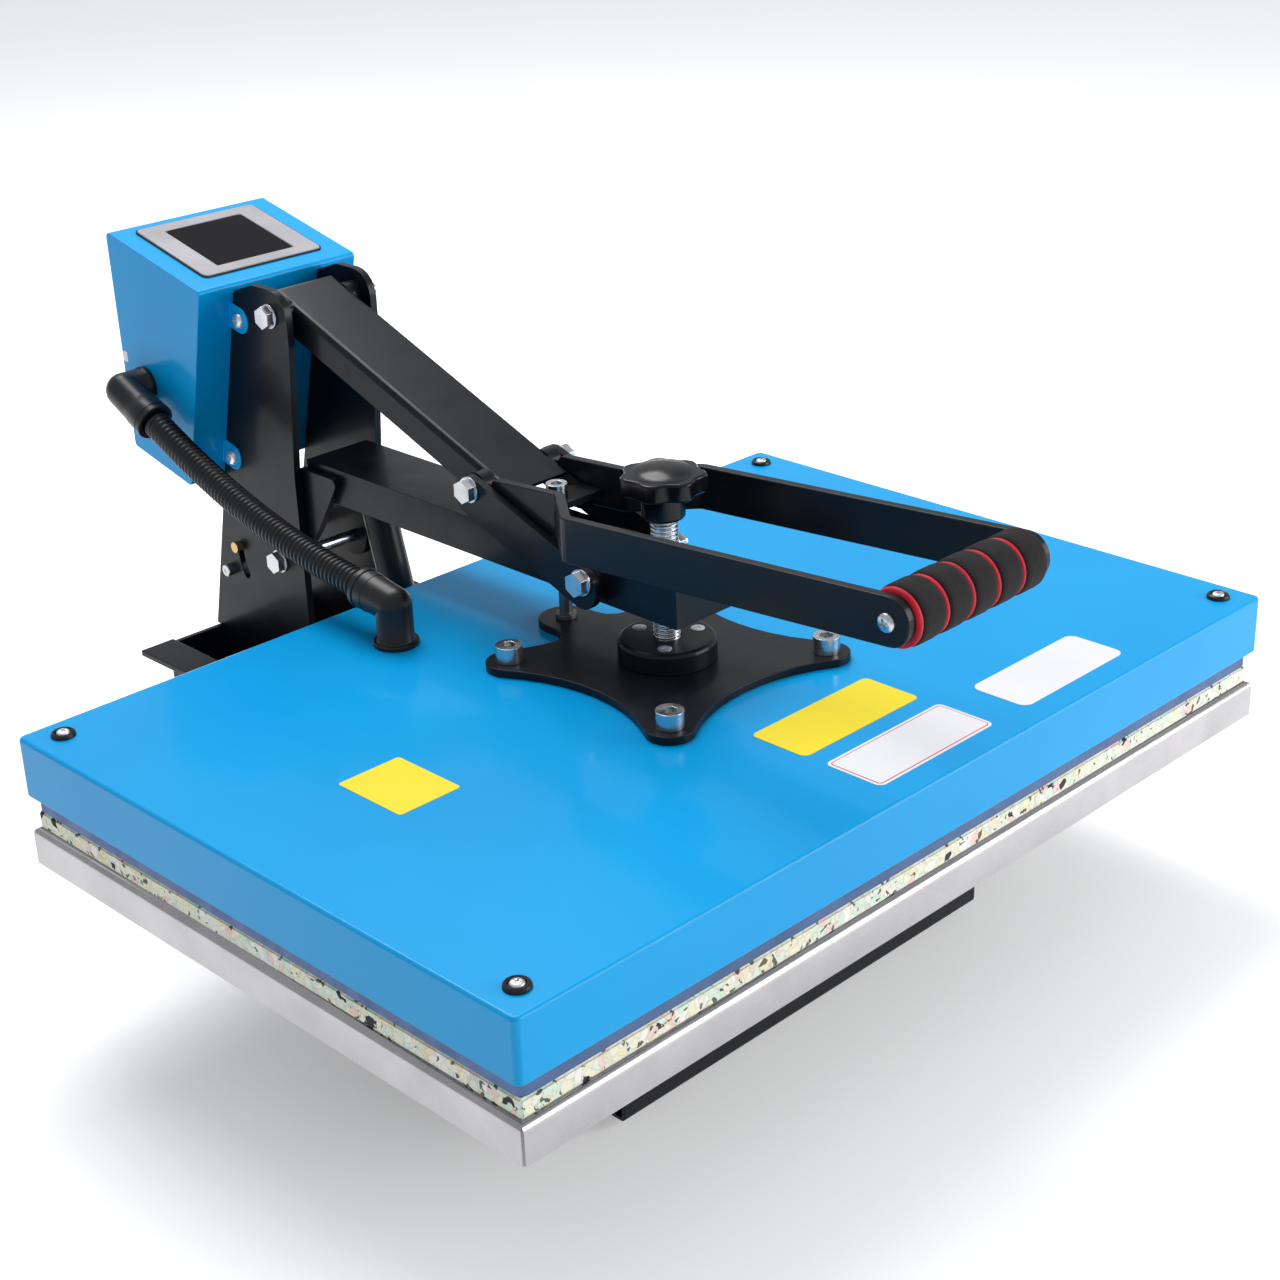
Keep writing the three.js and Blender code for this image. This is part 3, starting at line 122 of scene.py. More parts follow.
# Materials: colours are linear, and the distances of bumps are in metres
def material(name, color, rough, metal=0.0, coat=0.0, coat_rough=0.1, specular=0.5):
    made = bpy.data.materials.new(name)
    made.use_nodes = True
    shader = made.node_tree.nodes["Principled BSDF"]
    shader.inputs["Base Color"].default_value = (*color, 1)
    shader.inputs["Roughness"].default_value = rough
    shader.inputs["Metallic"].default_value = metal
    shader.inputs["Coat Weight"].default_value = coat
    shader.inputs["Coat Roughness"].default_value = coat_rough
    shader.inputs["Specular IOR Level"].default_value = specular
    return made


def add(made, kind, **values):
    """Adds a node, and sets what the values name: its own settings, or else its inputs."""
    node = made.node_tree.nodes.new(kind)
    for key, value in values.items():
        if hasattr(node, key):
            setattr(node, key, value)
        else:
            node.inputs[key.replace("_", " ")].default_value = value
    return node


def link(made, start, out, end, into):
    made.node_tree.links.new(start.outputs[out], end.inputs[into])


def place_in(made, scale=(1, 1, 1)):
    coordinates = add(made, "ShaderNodeTexCoord")
    mapping = add(made, "ShaderNodeMapping")
    mapping.inputs["Scale"].default_value = scale
    link(made, coordinates, "Object", mapping, "Vector")
    return mapping


def noise(made, scale, detail=3.0, stretch=(1, 1, 1)):
    texture = add(made, "ShaderNodeTexNoise", Scale=scale, Detail=detail)
    link(made, place_in(made, stretch), "Vector", texture, "Vector")
    return texture


def ramp(made, source, out, stops, constant=False):
    node = add(made, "ShaderNodeValToRGB")
    bar = node.color_ramp
    bar.interpolation = "CONSTANT" if constant else "LINEAR"
    while len(bar.elements) < len(stops):
        bar.elements.new(0.5)
    for element, (place, color) in zip(bar.elements, stops):
        element.position = place
        element.color = (*color, 1)
    link(made, source, out, node, "Fac")
    return node


def shader_of(made):
    return made.node_tree.nodes["Principled BSDF"]


def bump(made, source, out, strength, distance):
    """Wires a height into the shader's normal."""
    node = add(made, "ShaderNodeBump", Strength=strength, Distance=distance)
    link(made, source, out, node, "Height")
    link(made, node, "Normal", shader_of(made), "Normal")


def grey(value):
    return (value, value, value)


def blue_paint():
    made = material("azure_gloss_paint", (0.0, 0.34, 0.74), 0.3, coat=0.26, coat_rough=0.1, specular=0.1)
    drift = noise(made, 6, 2)
    tone = ramp(made, drift, "Fac", [(0.35, (0.0, 0.335, 0.74)), (0.7, (0.0, 0.37, 0.79))])
    link(made, tone, "Color", shader_of(made), "Base Color")
    peel = noise(made, 420, 2)
    bump(made, peel, "Fac", 0.05, 0.0004)
    return made


def black_paint():
    made = material("black_powder_paint", (0.005, 0.006, 0.009), 0.34, coat=0.15, coat_rough=0.14, specular=0.16)
    grain = noise(made, 1500, 2)
    tone = ramp(made, noise(made, 18, 3), "Fac", [(0.3, (0.004, 0.005, 0.008)), (0.75, (0.007, 0.008, 0.012))])
    link(made, tone, "Color", shader_of(made), "Base Color")
    rough = ramp(made, noise(made, 60, 3), "Fac", [(0.3, grey(0.32)), (0.7, grey(0.42))])
    link(made, rough, "Color", shader_of(made), "Roughness")
    bump(made, grain, "Fac", 0.1, 0.0002)
    return made


def metal(name, color, low, high, stretch=(1, 1, 1), scale=90, strength=0.08):
    made = material(name, color, (low + high) / 2, metal=1)
    brushed = noise(made, scale, 4, stretch)
    rough = ramp(made, brushed, "Fac", [(0.3, grey(low)), (0.7, grey(high))])
    link(made, rough, "Color", shader_of(made), "Roughness")
    dark = tuple(value * 0.86 for value in color)
    tone = ramp(made, noise(made, 30, 4), "Fac", [(0.3, dark), (0.65, color)])
    link(made, tone, "Color", shader_of(made), "Base Color")
    bump(made, brushed, "Fac", strength, 0.0002)
    return made


CHIP_SCALE, FLECK_SCALE = 190.0, 420.0


def foam_material():
    """Rebonded foam: pastel chips with darker seams, and a few dark flecks."""
    made = material("rebonded_foam", (0.75, 0.76, 0.62), 0.95, specular=0.15)
    warp = noise(made, 90, 3)
    blend = add(made, "ShaderNodeMix", data_type="RGBA")
    blend.inputs["Factor"].default_value = 0.014
    link(made, place_in(made), "Vector", blend, "A")
    link(made, warp, "Color", blend, "B")
    chips = add(made, "ShaderNodeTexVoronoi", Scale=CHIP_SCALE)
    link(made, blend, "Result", chips, "Vector")
    split = add(made, "ShaderNodeSeparateColor")
    link(made, chips, "Color", split, "Color")
    tone = ramp(made, split, "Red", [
        (0.0, (0.88, 0.86, 0.68)),
        (0.28, (0.74, 0.85, 0.72)),
        (0.5, (0.92, 0.90, 0.82)),
        (0.7, (0.90, 0.68, 0.62)),
        (0.79, (0.80, 0.87, 0.80)),
        (0.9, (0.88, 0.80, 0.58)),
        (0.975, (0.06, 0.06, 0.07)),
    ], constant=True)
    seams = add(made, "ShaderNodeTexVoronoi", Scale=CHIP_SCALE, feature="DISTANCE_TO_EDGE")
    link(made, blend, "Result", seams, "Vector")
    edge = ramp(made, seams, "Distance", [(0.0, grey(0.55)), (0.1, grey(1.0))])
    multiply = add(made, "ShaderNodeMix", data_type="RGBA", blend_type="MULTIPLY")
    multiply.inputs["Factor"].default_value = 0.45
    link(made, tone, "Color", multiply, "A")
    link(made, edge, "Color", multiply, "B")
    flecks = add(made, "ShaderNodeTexVoronoi", Scale=FLECK_SCALE)
    link(made, blend, "Result", flecks, "Vector")
    fleck_split = add(made, "ShaderNodeSeparateColor")
    link(made, flecks, "Color", fleck_split, "Color")
    dark = ramp(made, fleck_split, "Green", [(0.0, grey(1.0)), (0.93, grey(0.1))], constant=True)
    final = add(made, "ShaderNodeMix", data_type="RGBA", blend_type="MULTIPLY")
    final.inputs["Factor"].default_value = 0.9
    link(made, multiply, "Result", final, "A")
    link(made, dark, "Color", final, "B")
    link(made, final, "Result", shader_of(made), "Base Color")
    bump(made, noise(made, 300, 4), "Fac", 0.5, 0.001)
    return made


def mottle(made, color, drift, scale):
    """Lets the base colour drift to both sides by a share of itself."""
    darker, lighter = (tuple(value * share for value in color) for share in (1 - drift, 1 + drift))
    tone = ramp(made, noise(made, scale, 3), "Fac", [(0.3, darker), (0.7, lighter)])
    link(made, tone, "Color", shader_of(made), "Base Color")


def cellular(name, color, rough, scale, strength, distance):
    """Foam, rubber or fibre: small cells in the bump, under a colour that drifts."""
    made = material(name, color, rough, specular=0.3)
    cells = add(made, "ShaderNodeTexVoronoi", Scale=scale)
    link(made, place_in(made), "Vector", cells, "Vector")
    mottle(made, color, 0.25, scale / 12)
    bump(made, cells, "Distance", strength, distance)
    return made


def moulded(name, color, rough, specular=0.4, drift=0.15):
    made = material(name, color, rough, specular=specular)
    fine_grain = noise(made, 900, 2)
    mottle(made, color, drift, 25)
    bump(made, fine_grain, "Fac", 0.06, 0.0003)
    return made


BLUE = blue_paint()
BLACK = black_paint()
STEEL = metal("bright_zinc_steel", (0.62, 0.64, 0.67), 0.2, 0.36)
TRAY = metal("brushed_stainless_sheet", (0.5, 0.485, 0.49), 0.18, 0.3, (1.5, 60, 60), 40, 0.05)
# Steel for the guide pin, with painted shade: its base colour is darkened to stand in for the shade the pin sits in.
SHADE_DARKENED_STEEL = metal("steel_with_painted_shade", (0.2, 0.2, 0.21), 0.34, 0.5)
BRIGHT = metal("bright_plated_screw", (0.88, 0.89, 0.92), 0.34, 0.48)
YELLOW_ZINC = metal("yellow_passivated_steel", (0.62, 0.45, 0.2), 0.3, 0.45)
# Cast aluminium for the heating plate, with painted light: its dark blue base colour is a painted reflection of the
# blue cover, plus painted shade from under it.
SHADE_AND_REFLECTION_ALUMINIUM = metal("aluminium_with_painted_reflection_and_shade", (0.1, 0.16, 0.3), 0.4, 0.6)
FOAM = foam_material()
GRIP = cellular("grip_foam_rubber", (0.014, 0.0125, 0.0135), 0.85, 1400, 0.35, 0.0004)
RED = cellular("red_grip_ring", (0.55, 0.012, 0.03), 0.6, 900, 0.2, 0.0003)
RUBBER = cellular("black_rubber", (0.02, 0.02, 0.021), 0.75, 700, 0.2, 0.0004)
PLASTIC = moulded("black_moulded_plastic", (0.007, 0.007, 0.008), 0.36)
KNOB = moulded("black_knob_plastic", (0.004, 0.004, 0.005), 0.22, specular=0.3)
HOSE = moulded("black_hose_plastic", (0.006, 0.006, 0.007), 0.34)
BEZEL = moulded("grey_bezel_plastic", (0.35, 0.34, 0.37), 0.45)
GLASS = moulded("dark_screen_glass", (0.004, 0.004, 0.006), 0.18, specular=0.06)
WOOL = cellular("fibre_board", (0.55, 0.5, 0.4), 0.95, 500, 0.4, 0.0008)
YELLOW_LABEL = moulded("yellow_label_film", (0.92, 0.74, 0.01), 0.35, drift=0.02)
WHITE_LABEL = moulded("white_label_film", (0.82, 0.82, 0.85), 0.35, drift=0.02)
RED_LABEL = moulded("red_label_print", (0.6, 0.03, 0.03), 0.4, drift=0.02)


# Mesh helpers: sizes in millimetres, angles in degrees
MERGE, CAD_MERGE = 1e-6, 2e-6
TINY = 0.01


def finish_mesh(name, work, made, body, smooth=True, angle=32):
    bmesh.ops.remove_doubles(work, verts=work.verts, dist=MERGE)
    bmesh.ops.recalc_face_normals(work, faces=work.faces)
    data = bpy.data.meshes.new(name)
    work.to_mesh(data)
    work.free()
    for polygon in data.polygons:
        polygon.use_smooth = smooth
    if smooth:
        data.set_sharp_from_angle(angle=math.radians(angle))
    data.materials.append(made)
    piece = bpy.data.objects.new(name, data)
    bpy.context.scene.collection.objects.link(piece)
    if body:
        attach(piece, body)
    return piece


def apply_bevel(piece, width, segments, angle):
    modifier = piece.modifiers.new("edge", "BEVEL")
    modifier.width = width * MM
    modifier.segments = segments
    modifier.limit_method = "ANGLE"
    modifier.angle_limit = math.radians(angle)
    modifier.miter_outer = "MITER_ARC"
    flatten = piece.modifiers.new("flat_faces", "WEIGHTED_NORMAL")
    flatten.keep_sharp = True


def dressed(node, made, bevel, segments, angle):
    """A finer copy of a CAD node, with soft edges, that stands for it."""
    source = nodes[node]
    work = bmesh.new()
    work.from_mesh(source.data)
    bmesh.ops.remove_doubles(work, verts=work.verts, dist=CAD_MERGE)
    bmesh.ops.dissolve_limit(work, angle_limit=math.radians(0.5), verts=work.verts, edges=work.edges)
    piece = finish_mesh(node + "_look", work, made, source["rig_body"], angle=angle)
    apply_bevel(piece, bevel, segments, angle)
    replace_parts(piece, node)


def turned(name, profile, made, body, place, steps=48, direction=(0, 0, 1), angle=32):
    """Turns a list of (radius, height) points, in millimetres, about a direction at a place in metres."""
    work = bmesh.new()
    rings = []
    for radius, height in profile:
        ring = []
        for step in range(steps):
            turn = 2 * math.pi * step / steps
            ring.append(work.verts.new((radius * MM * math.cos(turn), radius * MM * math.sin(turn), height * MM)))
        rings.append(ring)
    for low, high in zip(rings, rings[1:]):
        for step in range(steps):
            beside = (step + 1) % steps
            work.faces.new((low[step], low[beside], high[beside], high[step]))
    if profile[0][0] > TINY:
        work.faces.new(list(reversed(rings[0])))
    if profile[-1][0] > TINY:
        work.faces.new(rings[-1])
    turn = Vector((0, 0, 1)).rotation_difference(Vector(direction)).to_matrix().to_4x4()
    bmesh.ops.transform(work, matrix=Matrix.Translation(place) @ turn, verts=work.verts)
    return finish_mesh(name, work, made, body, angle=angle)


def cross_cut(piece, depth, half, thick, place, direction, spin):
    """Sinks a cross recess in the head of a screw."""
    cutter = bmesh.new()
    for quarter in (0, math.pi / 2):
        size = Matrix.Diagonal((2 * half * MM, 2 * thick * MM, 2 * depth * MM, 1))
        bmesh.ops.create_cube(cutter, size=1, matrix=Matrix.Rotation(quarter + spin, 4, "Z") @ size)
    turn = Vector((0, 0, 1)).rotation_difference(Vector(direction)).to_matrix().to_4x4()
    bmesh.ops.transform(cutter, matrix=Matrix.Translation(place) @ turn, verts=cutter.verts)
    data = bpy.data.meshes.new("cutter")
    cutter.to_mesh(data)
    cutter.free()
    tool = bpy.data.objects.new("cutter", data)
    bpy.context.scene.collection.objects.link(tool)
    modifier = piece.modifiers.new("recess", "BOOLEAN")
    modifier.operation = "DIFFERENCE"
    modifier.solver = "EXACT"
    modifier.use_self = True
    modifier.object = tool
    graph = bpy.context.evaluated_depsgraph_get()
    result = bpy.data.meshes.new_from_object(piece.evaluated_get(graph))
    piece.modifiers.clear()
    piece.data = result
    bpy.data.objects.remove(tool)


# A pan head's outline, in shares of its radius and its height, and its cross recess in the same shares
PAN_SHARES = ((0, 0), (1, 0), (1, 0.3), (0.93, 0.62), (0.74, 0.88), (0.45, 1), (0, 1))
RECESS_DEPTH, RECESS_HALF, RECESS_THICK = 0.55, 0.52, 0.13
HEAD_STEPS = 28


def pan_screw(name, place, direction, body, radius, high, made, spin=0.4):
    profile = [(radius * wide, high * tall) for wide, tall in PAN_SHARES]
    piece = turned(name, profile, made, body, place, HEAD_STEPS, direction)
    top = Vector(place) + Vector(direction).normalized() * high * MM
    cross_cut(piece, high * RECESS_DEPTH, radius * RECESS_HALF, radius * RECESS_THICK, top, direction, spin)


def plate(name, outline, thick, made, body, matrix):
    """A flat outline in millimetres, given a thickness, placed by a matrix."""
    work = bmesh.new()
    low = [work.verts.new((x * MM, y * MM, 0)) for x, y in outline]
    high = [work.verts.new((x * MM, y * MM, thick * MM)) for x, y in outline]
    count = len(outline)
    for index in range(count):
        beside = (index + 1) % count
        work.faces.new((low[index], low[beside], high[beside], high[index]))
    work.faces.new(list(reversed(low)))
    work.faces.new(high)
    bmesh.ops.transform(work, matrix=matrix, verts=work.verts)
    finish_mesh(name, work, made, body, angle=28)


def round_rectangle(width, height, radius, steps=6):
    points = []
    for quarter, (x, y) in enumerate(((1, 1), (-1, 1), (-1, -1), (1, -1))):
        for step in range(steps + 1):
            turn = math.pi / 2 * (quarter + step / steps)
            points.append((x * (width / 2 - radius) + radius * math.cos(turn),
                           y * (height / 2 - radius) + radius * math.sin(turn)))
    return points


# The ribbed hose, on the route that its solid has
HOSE_START = (-80, 385, 272)
HOSE_LEAVE = (0, -0.907, -0.42)
HOSE_ARRIVE = (0, 0.993, 0.117)
HOSE_STRAIGHT, HOSE_SWEEP = 18.5, 60
HOSE_PITCH, HOSE_VALLEY, HOSE_BORE = 3.8, 8.0, 7.0
HOSE_SIDES = 28
ROUTE_STEPS, END_STEPS, BORE_STEPS = 72, 6, 24
RIB_PROFILE = ((0.0, HOSE_VALLEY), (0.14, 8.15), (0.24, 9.0), (0.34, 9.25), (0.56, 9.25), (0.66, 9.0), (0.76, 8.15),
               (0.88, HOSE_VALLEY))
MOUTH_GAP = 0.3
COVER_ELBOW_X, COVER_ELBOW_Y = -85.7, 141.5
COVER_KNEE, COVER_REACH = 25, 28.5


def bezier(points, share):
    while len(points) > 1:
        points = [a.lerp(b, share) for a, b in zip(points, points[1:])]
    return points[0]


def hose_route():
    start = at(*HOSE_START)
    leave = Vector(HOSE_LEAVE).normalized()
    arrive = Vector(HOSE_ARRIVE).normalized()
    end = at(COVER_ELBOW_X, COVER_ELBOW_Y + COVER_REACH, 0)
    end.z = COVER_TOP + (COVER_KNEE + MOUTH_GAP + COVER_REACH * HOSE_ARRIVE[2] / HOSE_ARRIVE[1]) * MM
    straight = HOSE_STRAIGHT * MM
    first = start + leave * straight
    last = end + arrive * straight
    control = [first, first + leave * HOSE_SWEEP * MM, last + arrive * HOSE_SWEEP * MM, last]
    middle = [bezier(control, step / ROUTE_STEPS) for step in range(ROUTE_STEPS + 1)]
    lead = [start.lerp(first, step / END_STEPS) for step in range(END_STEPS)]
    tail = [last.lerp(end, step / END_STEPS) for step in range(1, END_STEPS + 1)]
    return lead + middle + tail, leave, arrive


def hose():
    route, leave, arrive = hose_route()
    lengths = [0.0]
    for a, b in zip(route, route[1:]):
        lengths.append(lengths[-1] + (b - a).length)
    total = lengths[-1]
    ribs = round(total / (HOSE_PITCH * MM))
    work = bmesh.new()
    rings = []

    def ring(distance, radius):
        index = max(i for i, value in enumerate(lengths[:-1]) if value <= distance + 1e-12)
        span = lengths[index + 1] - lengths[index]
        share = (distance - lengths[index]) / span
        middle = route[index].lerp(route[index + 1], share)
        before = (route[index + 1] - route[max(index - 1, 0)]).normalized()
        after = (route[min(index + 2, len(route) - 1)] - route[index]).normalized()
        along = before.lerp(after, share).normalized()
        across = Vector((1, 0, 0)).cross(along).normalized()
        other = along.cross(across)
        made = []
        for side in range(HOSE_SIDES):
            turn = 2 * math.pi * side / HOSE_SIDES
            offset = across * math.cos(turn) + other * math.sin(turn)
            made.append(work.verts.new(middle + offset * radius * MM))
        rings.append(made)

    for rib in range(ribs):
        for share, radius in RIB_PROFILE:
            ring((rib + share) * total / ribs, radius)
    ring(total, HOSE_VALLEY)
    for step in range(BORE_STEPS, -1, -1):
        ring(total * step / BORE_STEPS, HOSE_BORE)
    for index, low in enumerate(rings):
        high = rings[(index + 1) % len(rings)]
        for side in range(len(low)):
            beside = (side + 1) % len(low)
            work.faces.new((low[side], low[beside], high[beside], high[side]))
    piece = finish_mesh("ribbed_hose", work, HOSE, None, angle=50)
    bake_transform(piece)
    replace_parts(piece, "hose")
    return route, leave, arrive


hose_points, leave_way, arrive_way = hose()

# CAD nodes, as finer copies with soft edges: finish, bevel, its segments, the smoothing angle and the nodes
FINISHES = (
    (BLUE, 0.5, 3, 32, ("upper_cover", "control_box")),
    (BLACK, 0.7, 2, 32, (
        "lower_arm", "arm_bracket_left", "arm_bracket_right", "lever_channel", "handle_bar_left", "handle_bar_right",
        "toggle_left", "toggle_right", "upright_left", "upright_right")),
    (BLACK, 0.5, 2, 32, (
        "base_rail_left", "base_rail_right", "front_foot", "rear_foot", "cross_plate_front", "cross_plate_rear",
        "bed_plate", "spider_plate", "thrust_flange", "strut_cylinder")),
    (STEEL, 0.3, 2, 32, (
        "strut_anchor_rod", "lever_pivot_bolt", "lever_pivot_nut", "arm_pivot_bolt", "arm_pivot_nut", "spindle_nut",
        "strut_upper_pin", "arm_toggle_bolt", "arm_toggle_nut", "spider_bolt_front_left", "spider_bolt_front_right",
        "spider_bolt_rear_left", "spider_bolt_rear_right", "grip_tube", "stop_bolt", "toggle_bolt_left",
        "toggle_bolt_right", "strut_rod")),
    (YELLOW_ZINC, 0.3, 2, 32, ("limit_pin",)),
    # The guide pin's steel carries painted shade in its darkened colour.
    (SHADE_DARKENED_STEEL, 0.3, 2, 32, ("guide_pin",)),
    # The heating plate's aluminium carries a painted blue reflection and painted shade in its colour.
    (SHADE_AND_REFLECTION_ALUMINIUM, 0.8, 2, 32, ("heating_plate",)),
    (WOOL, 0.6, 2, 32, ("insulation_pad",)),
    (PLASTIC, 0.5, 2, 32, ("inlet_module", "switch_rocker")),
    (KNOB, 0.7, 3, 40, ("pressure_knob",)),
    (BEZEL, 0.4, 2, 32, ("touch_bezel",)),
    (GLASS, 0.3, 2, 32, ("touch_screen",)),
    (RUBBER, 0.8, 3, 32, (
        "rubber_foot_front_left", "rubber_foot_front_right", "rubber_foot_rear_left", "rubber_foot_rear_right")),
)
for finish, bevel, segments, smoothing, names in FINISHES:
    for name in names:
        dressed(name, finish, bevel, segments, smoothing)


# The stainless tray, folded down on four sides, with the corners left open as narrow seams
def tray():
    low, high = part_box("lower_tray")
    wide, long = high.x - low.x, high.y - low.y
    base, deep = low.z / MM, (high.z - low.z) / MM
    bend, sheet, under, seam, steps = 4.0, 1.2, 14.0, 1.2, 8
    outer = [(0, 0), (0, deep - bend)]
    inner = [(sheet, 0), (sheet, deep - bend)]
    for step in range(1, steps + 1):
        turn = math.pi / 2 * step / steps
        outer.append((bend * (1 - math.cos(turn)), deep - bend + bend * math.sin(turn)))
        inner.append((bend - (bend - sheet) * math.cos(turn), deep - bend + (bend - sheet) * math.sin(turn)))
    outer.append((under, deep))
    inner.append((under, deep - sheet))
    ring = outer + list(reversed(inner))
    centre = (low + high) / 2
    work = bmesh.new()
    for turn, along, across in ((0, wide, long), (90, long, wide), (180, wide, long), (270, long, wide)):
        spin = Matrix.Rotation(math.radians(turn), 3, "Z")
        sides = []
        for end in (-1, 1):
            loop = []
            for depth, height in ring:
                reach = end * (along / 2 / MM - max(depth, seam))
                point = spin @ Vector((reach * MM, -(across / 2) + depth * MM, 0))
                loop.append(work.verts.new((centre.x + point.x, centre.y + point.y, (base + height) * MM)))
            sides.append(loop)
        for index in range(len(ring)):
            beside = (index + 1) % len(ring)
            work.faces.new((sides[0][index], sides[0][beside], sides[1][beside], sides[1][index]))
        half = len(outer)
        for loop, flip in ((sides[0], True), (sides[1], False)):
            for index in range(half - 1):
                face = [loop[index], loop[index + 1], loop[2 * half - 2 - index], loop[2 * half - 1 - index]]
                work.faces.new(reversed(face) if flip else face)
    piece = finish_mesh("folded_tray", work, TRAY, "frame", angle=35)
    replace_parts(piece, "lower_tray")
    span = Matrix.Diagonal((wide - 2 * under * MM, long - 2 * under * MM, sheet * MM, 1))
    sheet_work = bmesh.new()
    bmesh.ops.create_cube(sheet_work, size=1, matrix=Matrix.Translation(
        (centre.x, centre.y, high.z - sheet * MM / 2)) @ span)
    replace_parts(finish_mesh("tray_sheet", sheet_work, TRAY, "frame"), "lower_tray")


tray()


# Moulded elbows: a flanged foot, a round knee and a widening collar with a groove and a bored mouth
BOX_SIDE_X = -62.2
BOX_ELBOW_X, BOX_ELBOW_Y, BOX_ELBOW_Z = -80, 418.5, 287.2
BOX_FOOT_RADIUS, BOX_BEND_RADIUS = 12, 11.7
COVER_FOOT_RADIUS, COVER_BEND_RADIUS = 14, 11.2
MOUTH_RADIUS, MOUTH_TAPER, MOUTH_DEPTH = 9.9, 0.2, 7
KNEE_STEPS = 24
ELBOW_SMOOTHING = 40


def elbow(node, body, foot, knee, mouth, foot_radius, bend):
    way_in, way_out = knee - foot, mouth - knee
    tall, reach = way_in.length / MM, way_out.length / MM
    leg = [(0, 0), (foot_radius - 0.5, 0), (foot_radius, 0.5), (foot_radius, 2.3), (foot_radius - 0.7, 3),
           (bend + 0.7, 3.1), (bend, 4.2), (bend, tall), (0, tall)]
    ball = [(bend * math.sin(math.pi * step / KNEE_STEPS), -bend * math.cos(math.pi * step / KNEE_STEPS))
            for step in range(KNEE_STEPS + 1)]
    collar = [(0, 0), (bend, 0), (bend + 0.35, reach * 0.45), (bend + 0.6, reach * 0.6), (bend + 0.9, reach * 0.61),
              (bend + 1.1, reach - 5), (bend + 0.7, reach - 4.7), (bend + 0.7, reach - 3.9),
              (bend + 1.4, reach - 3.5), (bend + 1.4, reach - 0.5), (bend + 0.9, reach), (MOUTH_RADIUS, reach),
              (MOUTH_RADIUS - MOUTH_TAPER, reach - MOUTH_DEPTH), (0, reach - MOUTH_DEPTH)]
    for name, profile, place, way in (("leg", leg, foot, way_in), ("knee", ball, knee, way_in),
                                      ("collar", collar, knee, way_out)):
        piece = turned(f"{node}_{name}", profile, PLASTIC, body, place, direction=way.normalized(),
                       angle=ELBOW_SMOOTHING)
        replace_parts(piece, node)


def elbows():
    elbow("box_elbow", "frame", at(BOX_SIDE_X, BOX_ELBOW_Y, BOX_ELBOW_Z), at(BOX_ELBOW_X, BOX_ELBOW_Y, BOX_ELBOW_Z),
          hose_points[0] - leave_way * MOUTH_GAP * MM, BOX_FOOT_RADIUS, BOX_BEND_RADIUS)
    cover_foot = on_cover(COVER_ELBOW_X, COVER_ELBOW_Y)
    elbow("cover_elbow", "platen", cover_foot, cover_foot + Vector((0, 0, COVER_KNEE * MM)),
          hose_points[-1] - arrive_way * MOUTH_GAP * MM, COVER_FOOT_RADIUS, COVER_BEND_RADIUS)


elbows()


# A dark gasket round the panel's bezel, on the box's sloping top
BOX_TOP_FRONT_Y, BOX_TOP_FRONT_Z = 344.14, 362
BOX_TOP_REAR_Y, BOX_TOP_REAR_Z = 445.5, 386
BEZEL_MIDDLE = 54.45
GASKET_WIDTH, GASKET_DEPTH, GASKET_CORNER, GASKET_THICK, GASKET_LIFT = 94.8, 79.9, 4.6, 0.9, 0.03


def gasket():
    slope = math.atan2(BOX_TOP_REAR_Z - BOX_TOP_FRONT_Z, BOX_TOP_REAR_Y - BOX_TOP_FRONT_Y)
    turn = Matrix.Rotation(slope, 4, "X")
    front = Matrix.Translation(at(0, BOX_TOP_FRONT_Y, BOX_TOP_FRONT_Z))
    middle = front @ turn @ Matrix.Translation((0, BEZEL_MIDDLE * MM, GASKET_LIFT * MM))
    plate("panel_gasket", round_rectangle(GASKET_WIDTH, GASKET_DEPTH, GASKET_CORNER), GASKET_THICK, RUBBER, "frame",
          middle)


gasket()


# The foam pad, with rounded edges
FOAM_EDGE = 1.2


def foam_pad():
    low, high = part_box("foam_pad")
    work = bmesh.new()
    bmesh.ops.create_cube(work, size=1)
    size = high - low
    middle = (high + low) / 2
    matrix = Matrix.Translation(middle) @ Matrix.Diagonal((size.x, size.y, size.z, 1))
    bmesh.ops.transform(work, matrix=matrix, verts=work.verts)
    bmesh.ops.bevel(work, geom=work.edges[:], offset=FOAM_EDGE * MM, segments=3, affect="EDGES")
    piece = finish_mesh("foam_pad_look", work, FOAM, "frame")
    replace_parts(piece, "foam_pad")


foam_pad()


# Grip: swelling foam sleeves with red rings between, on the tube
GRIP_SLEEVES = 5
GRIP_STEPS, GRIP_SMOOTHING = 56, 60
RING_WIDE, SLEEVE_BORE = 3.0, 12.7


def grip():
    low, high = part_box("grip_tube")
    centre = (low + high) / 2
    half = (high.x - low.x) / 2 / MM
    pitch = 2 * half / GRIP_SLEEVES
    for index in range(GRIP_SLEEVES):
        start = -half + index * pitch
        first = start + RING_WIDE
        last = start + pitch
        profile = [(SLEEVE_BORE, first), (14.6, first), (15.7, first + 0.5), (16.3, first + 1.6), (16.5, first + 4),
                   (16.5, last - 4), (16.3, last - 1.6), (15.7, last - 0.5), (14.6, last), (SLEEVE_BORE, last)]
        sleeve = turned(f"grip_sleeve_{index + 1}", profile, GRIP, "lever", centre, GRIP_STEPS, (1, 0, 0),
                        GRIP_SMOOTHING)
        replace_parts(sleeve, "grip_foam")
        ring = [(SLEEVE_BORE, start), (14.9, start), (15.6, start + 0.6), (15.8, start + RING_WIDE / 2),
                (15.6, first - 0.6), (14.9, first), (SLEEVE_BORE, first)]
        turned(f"grip_ring_{index + 1}", ring, RED, "lever", centre, GRIP_STEPS, (1, 0, 0), GRIP_SMOOTHING)


grip()


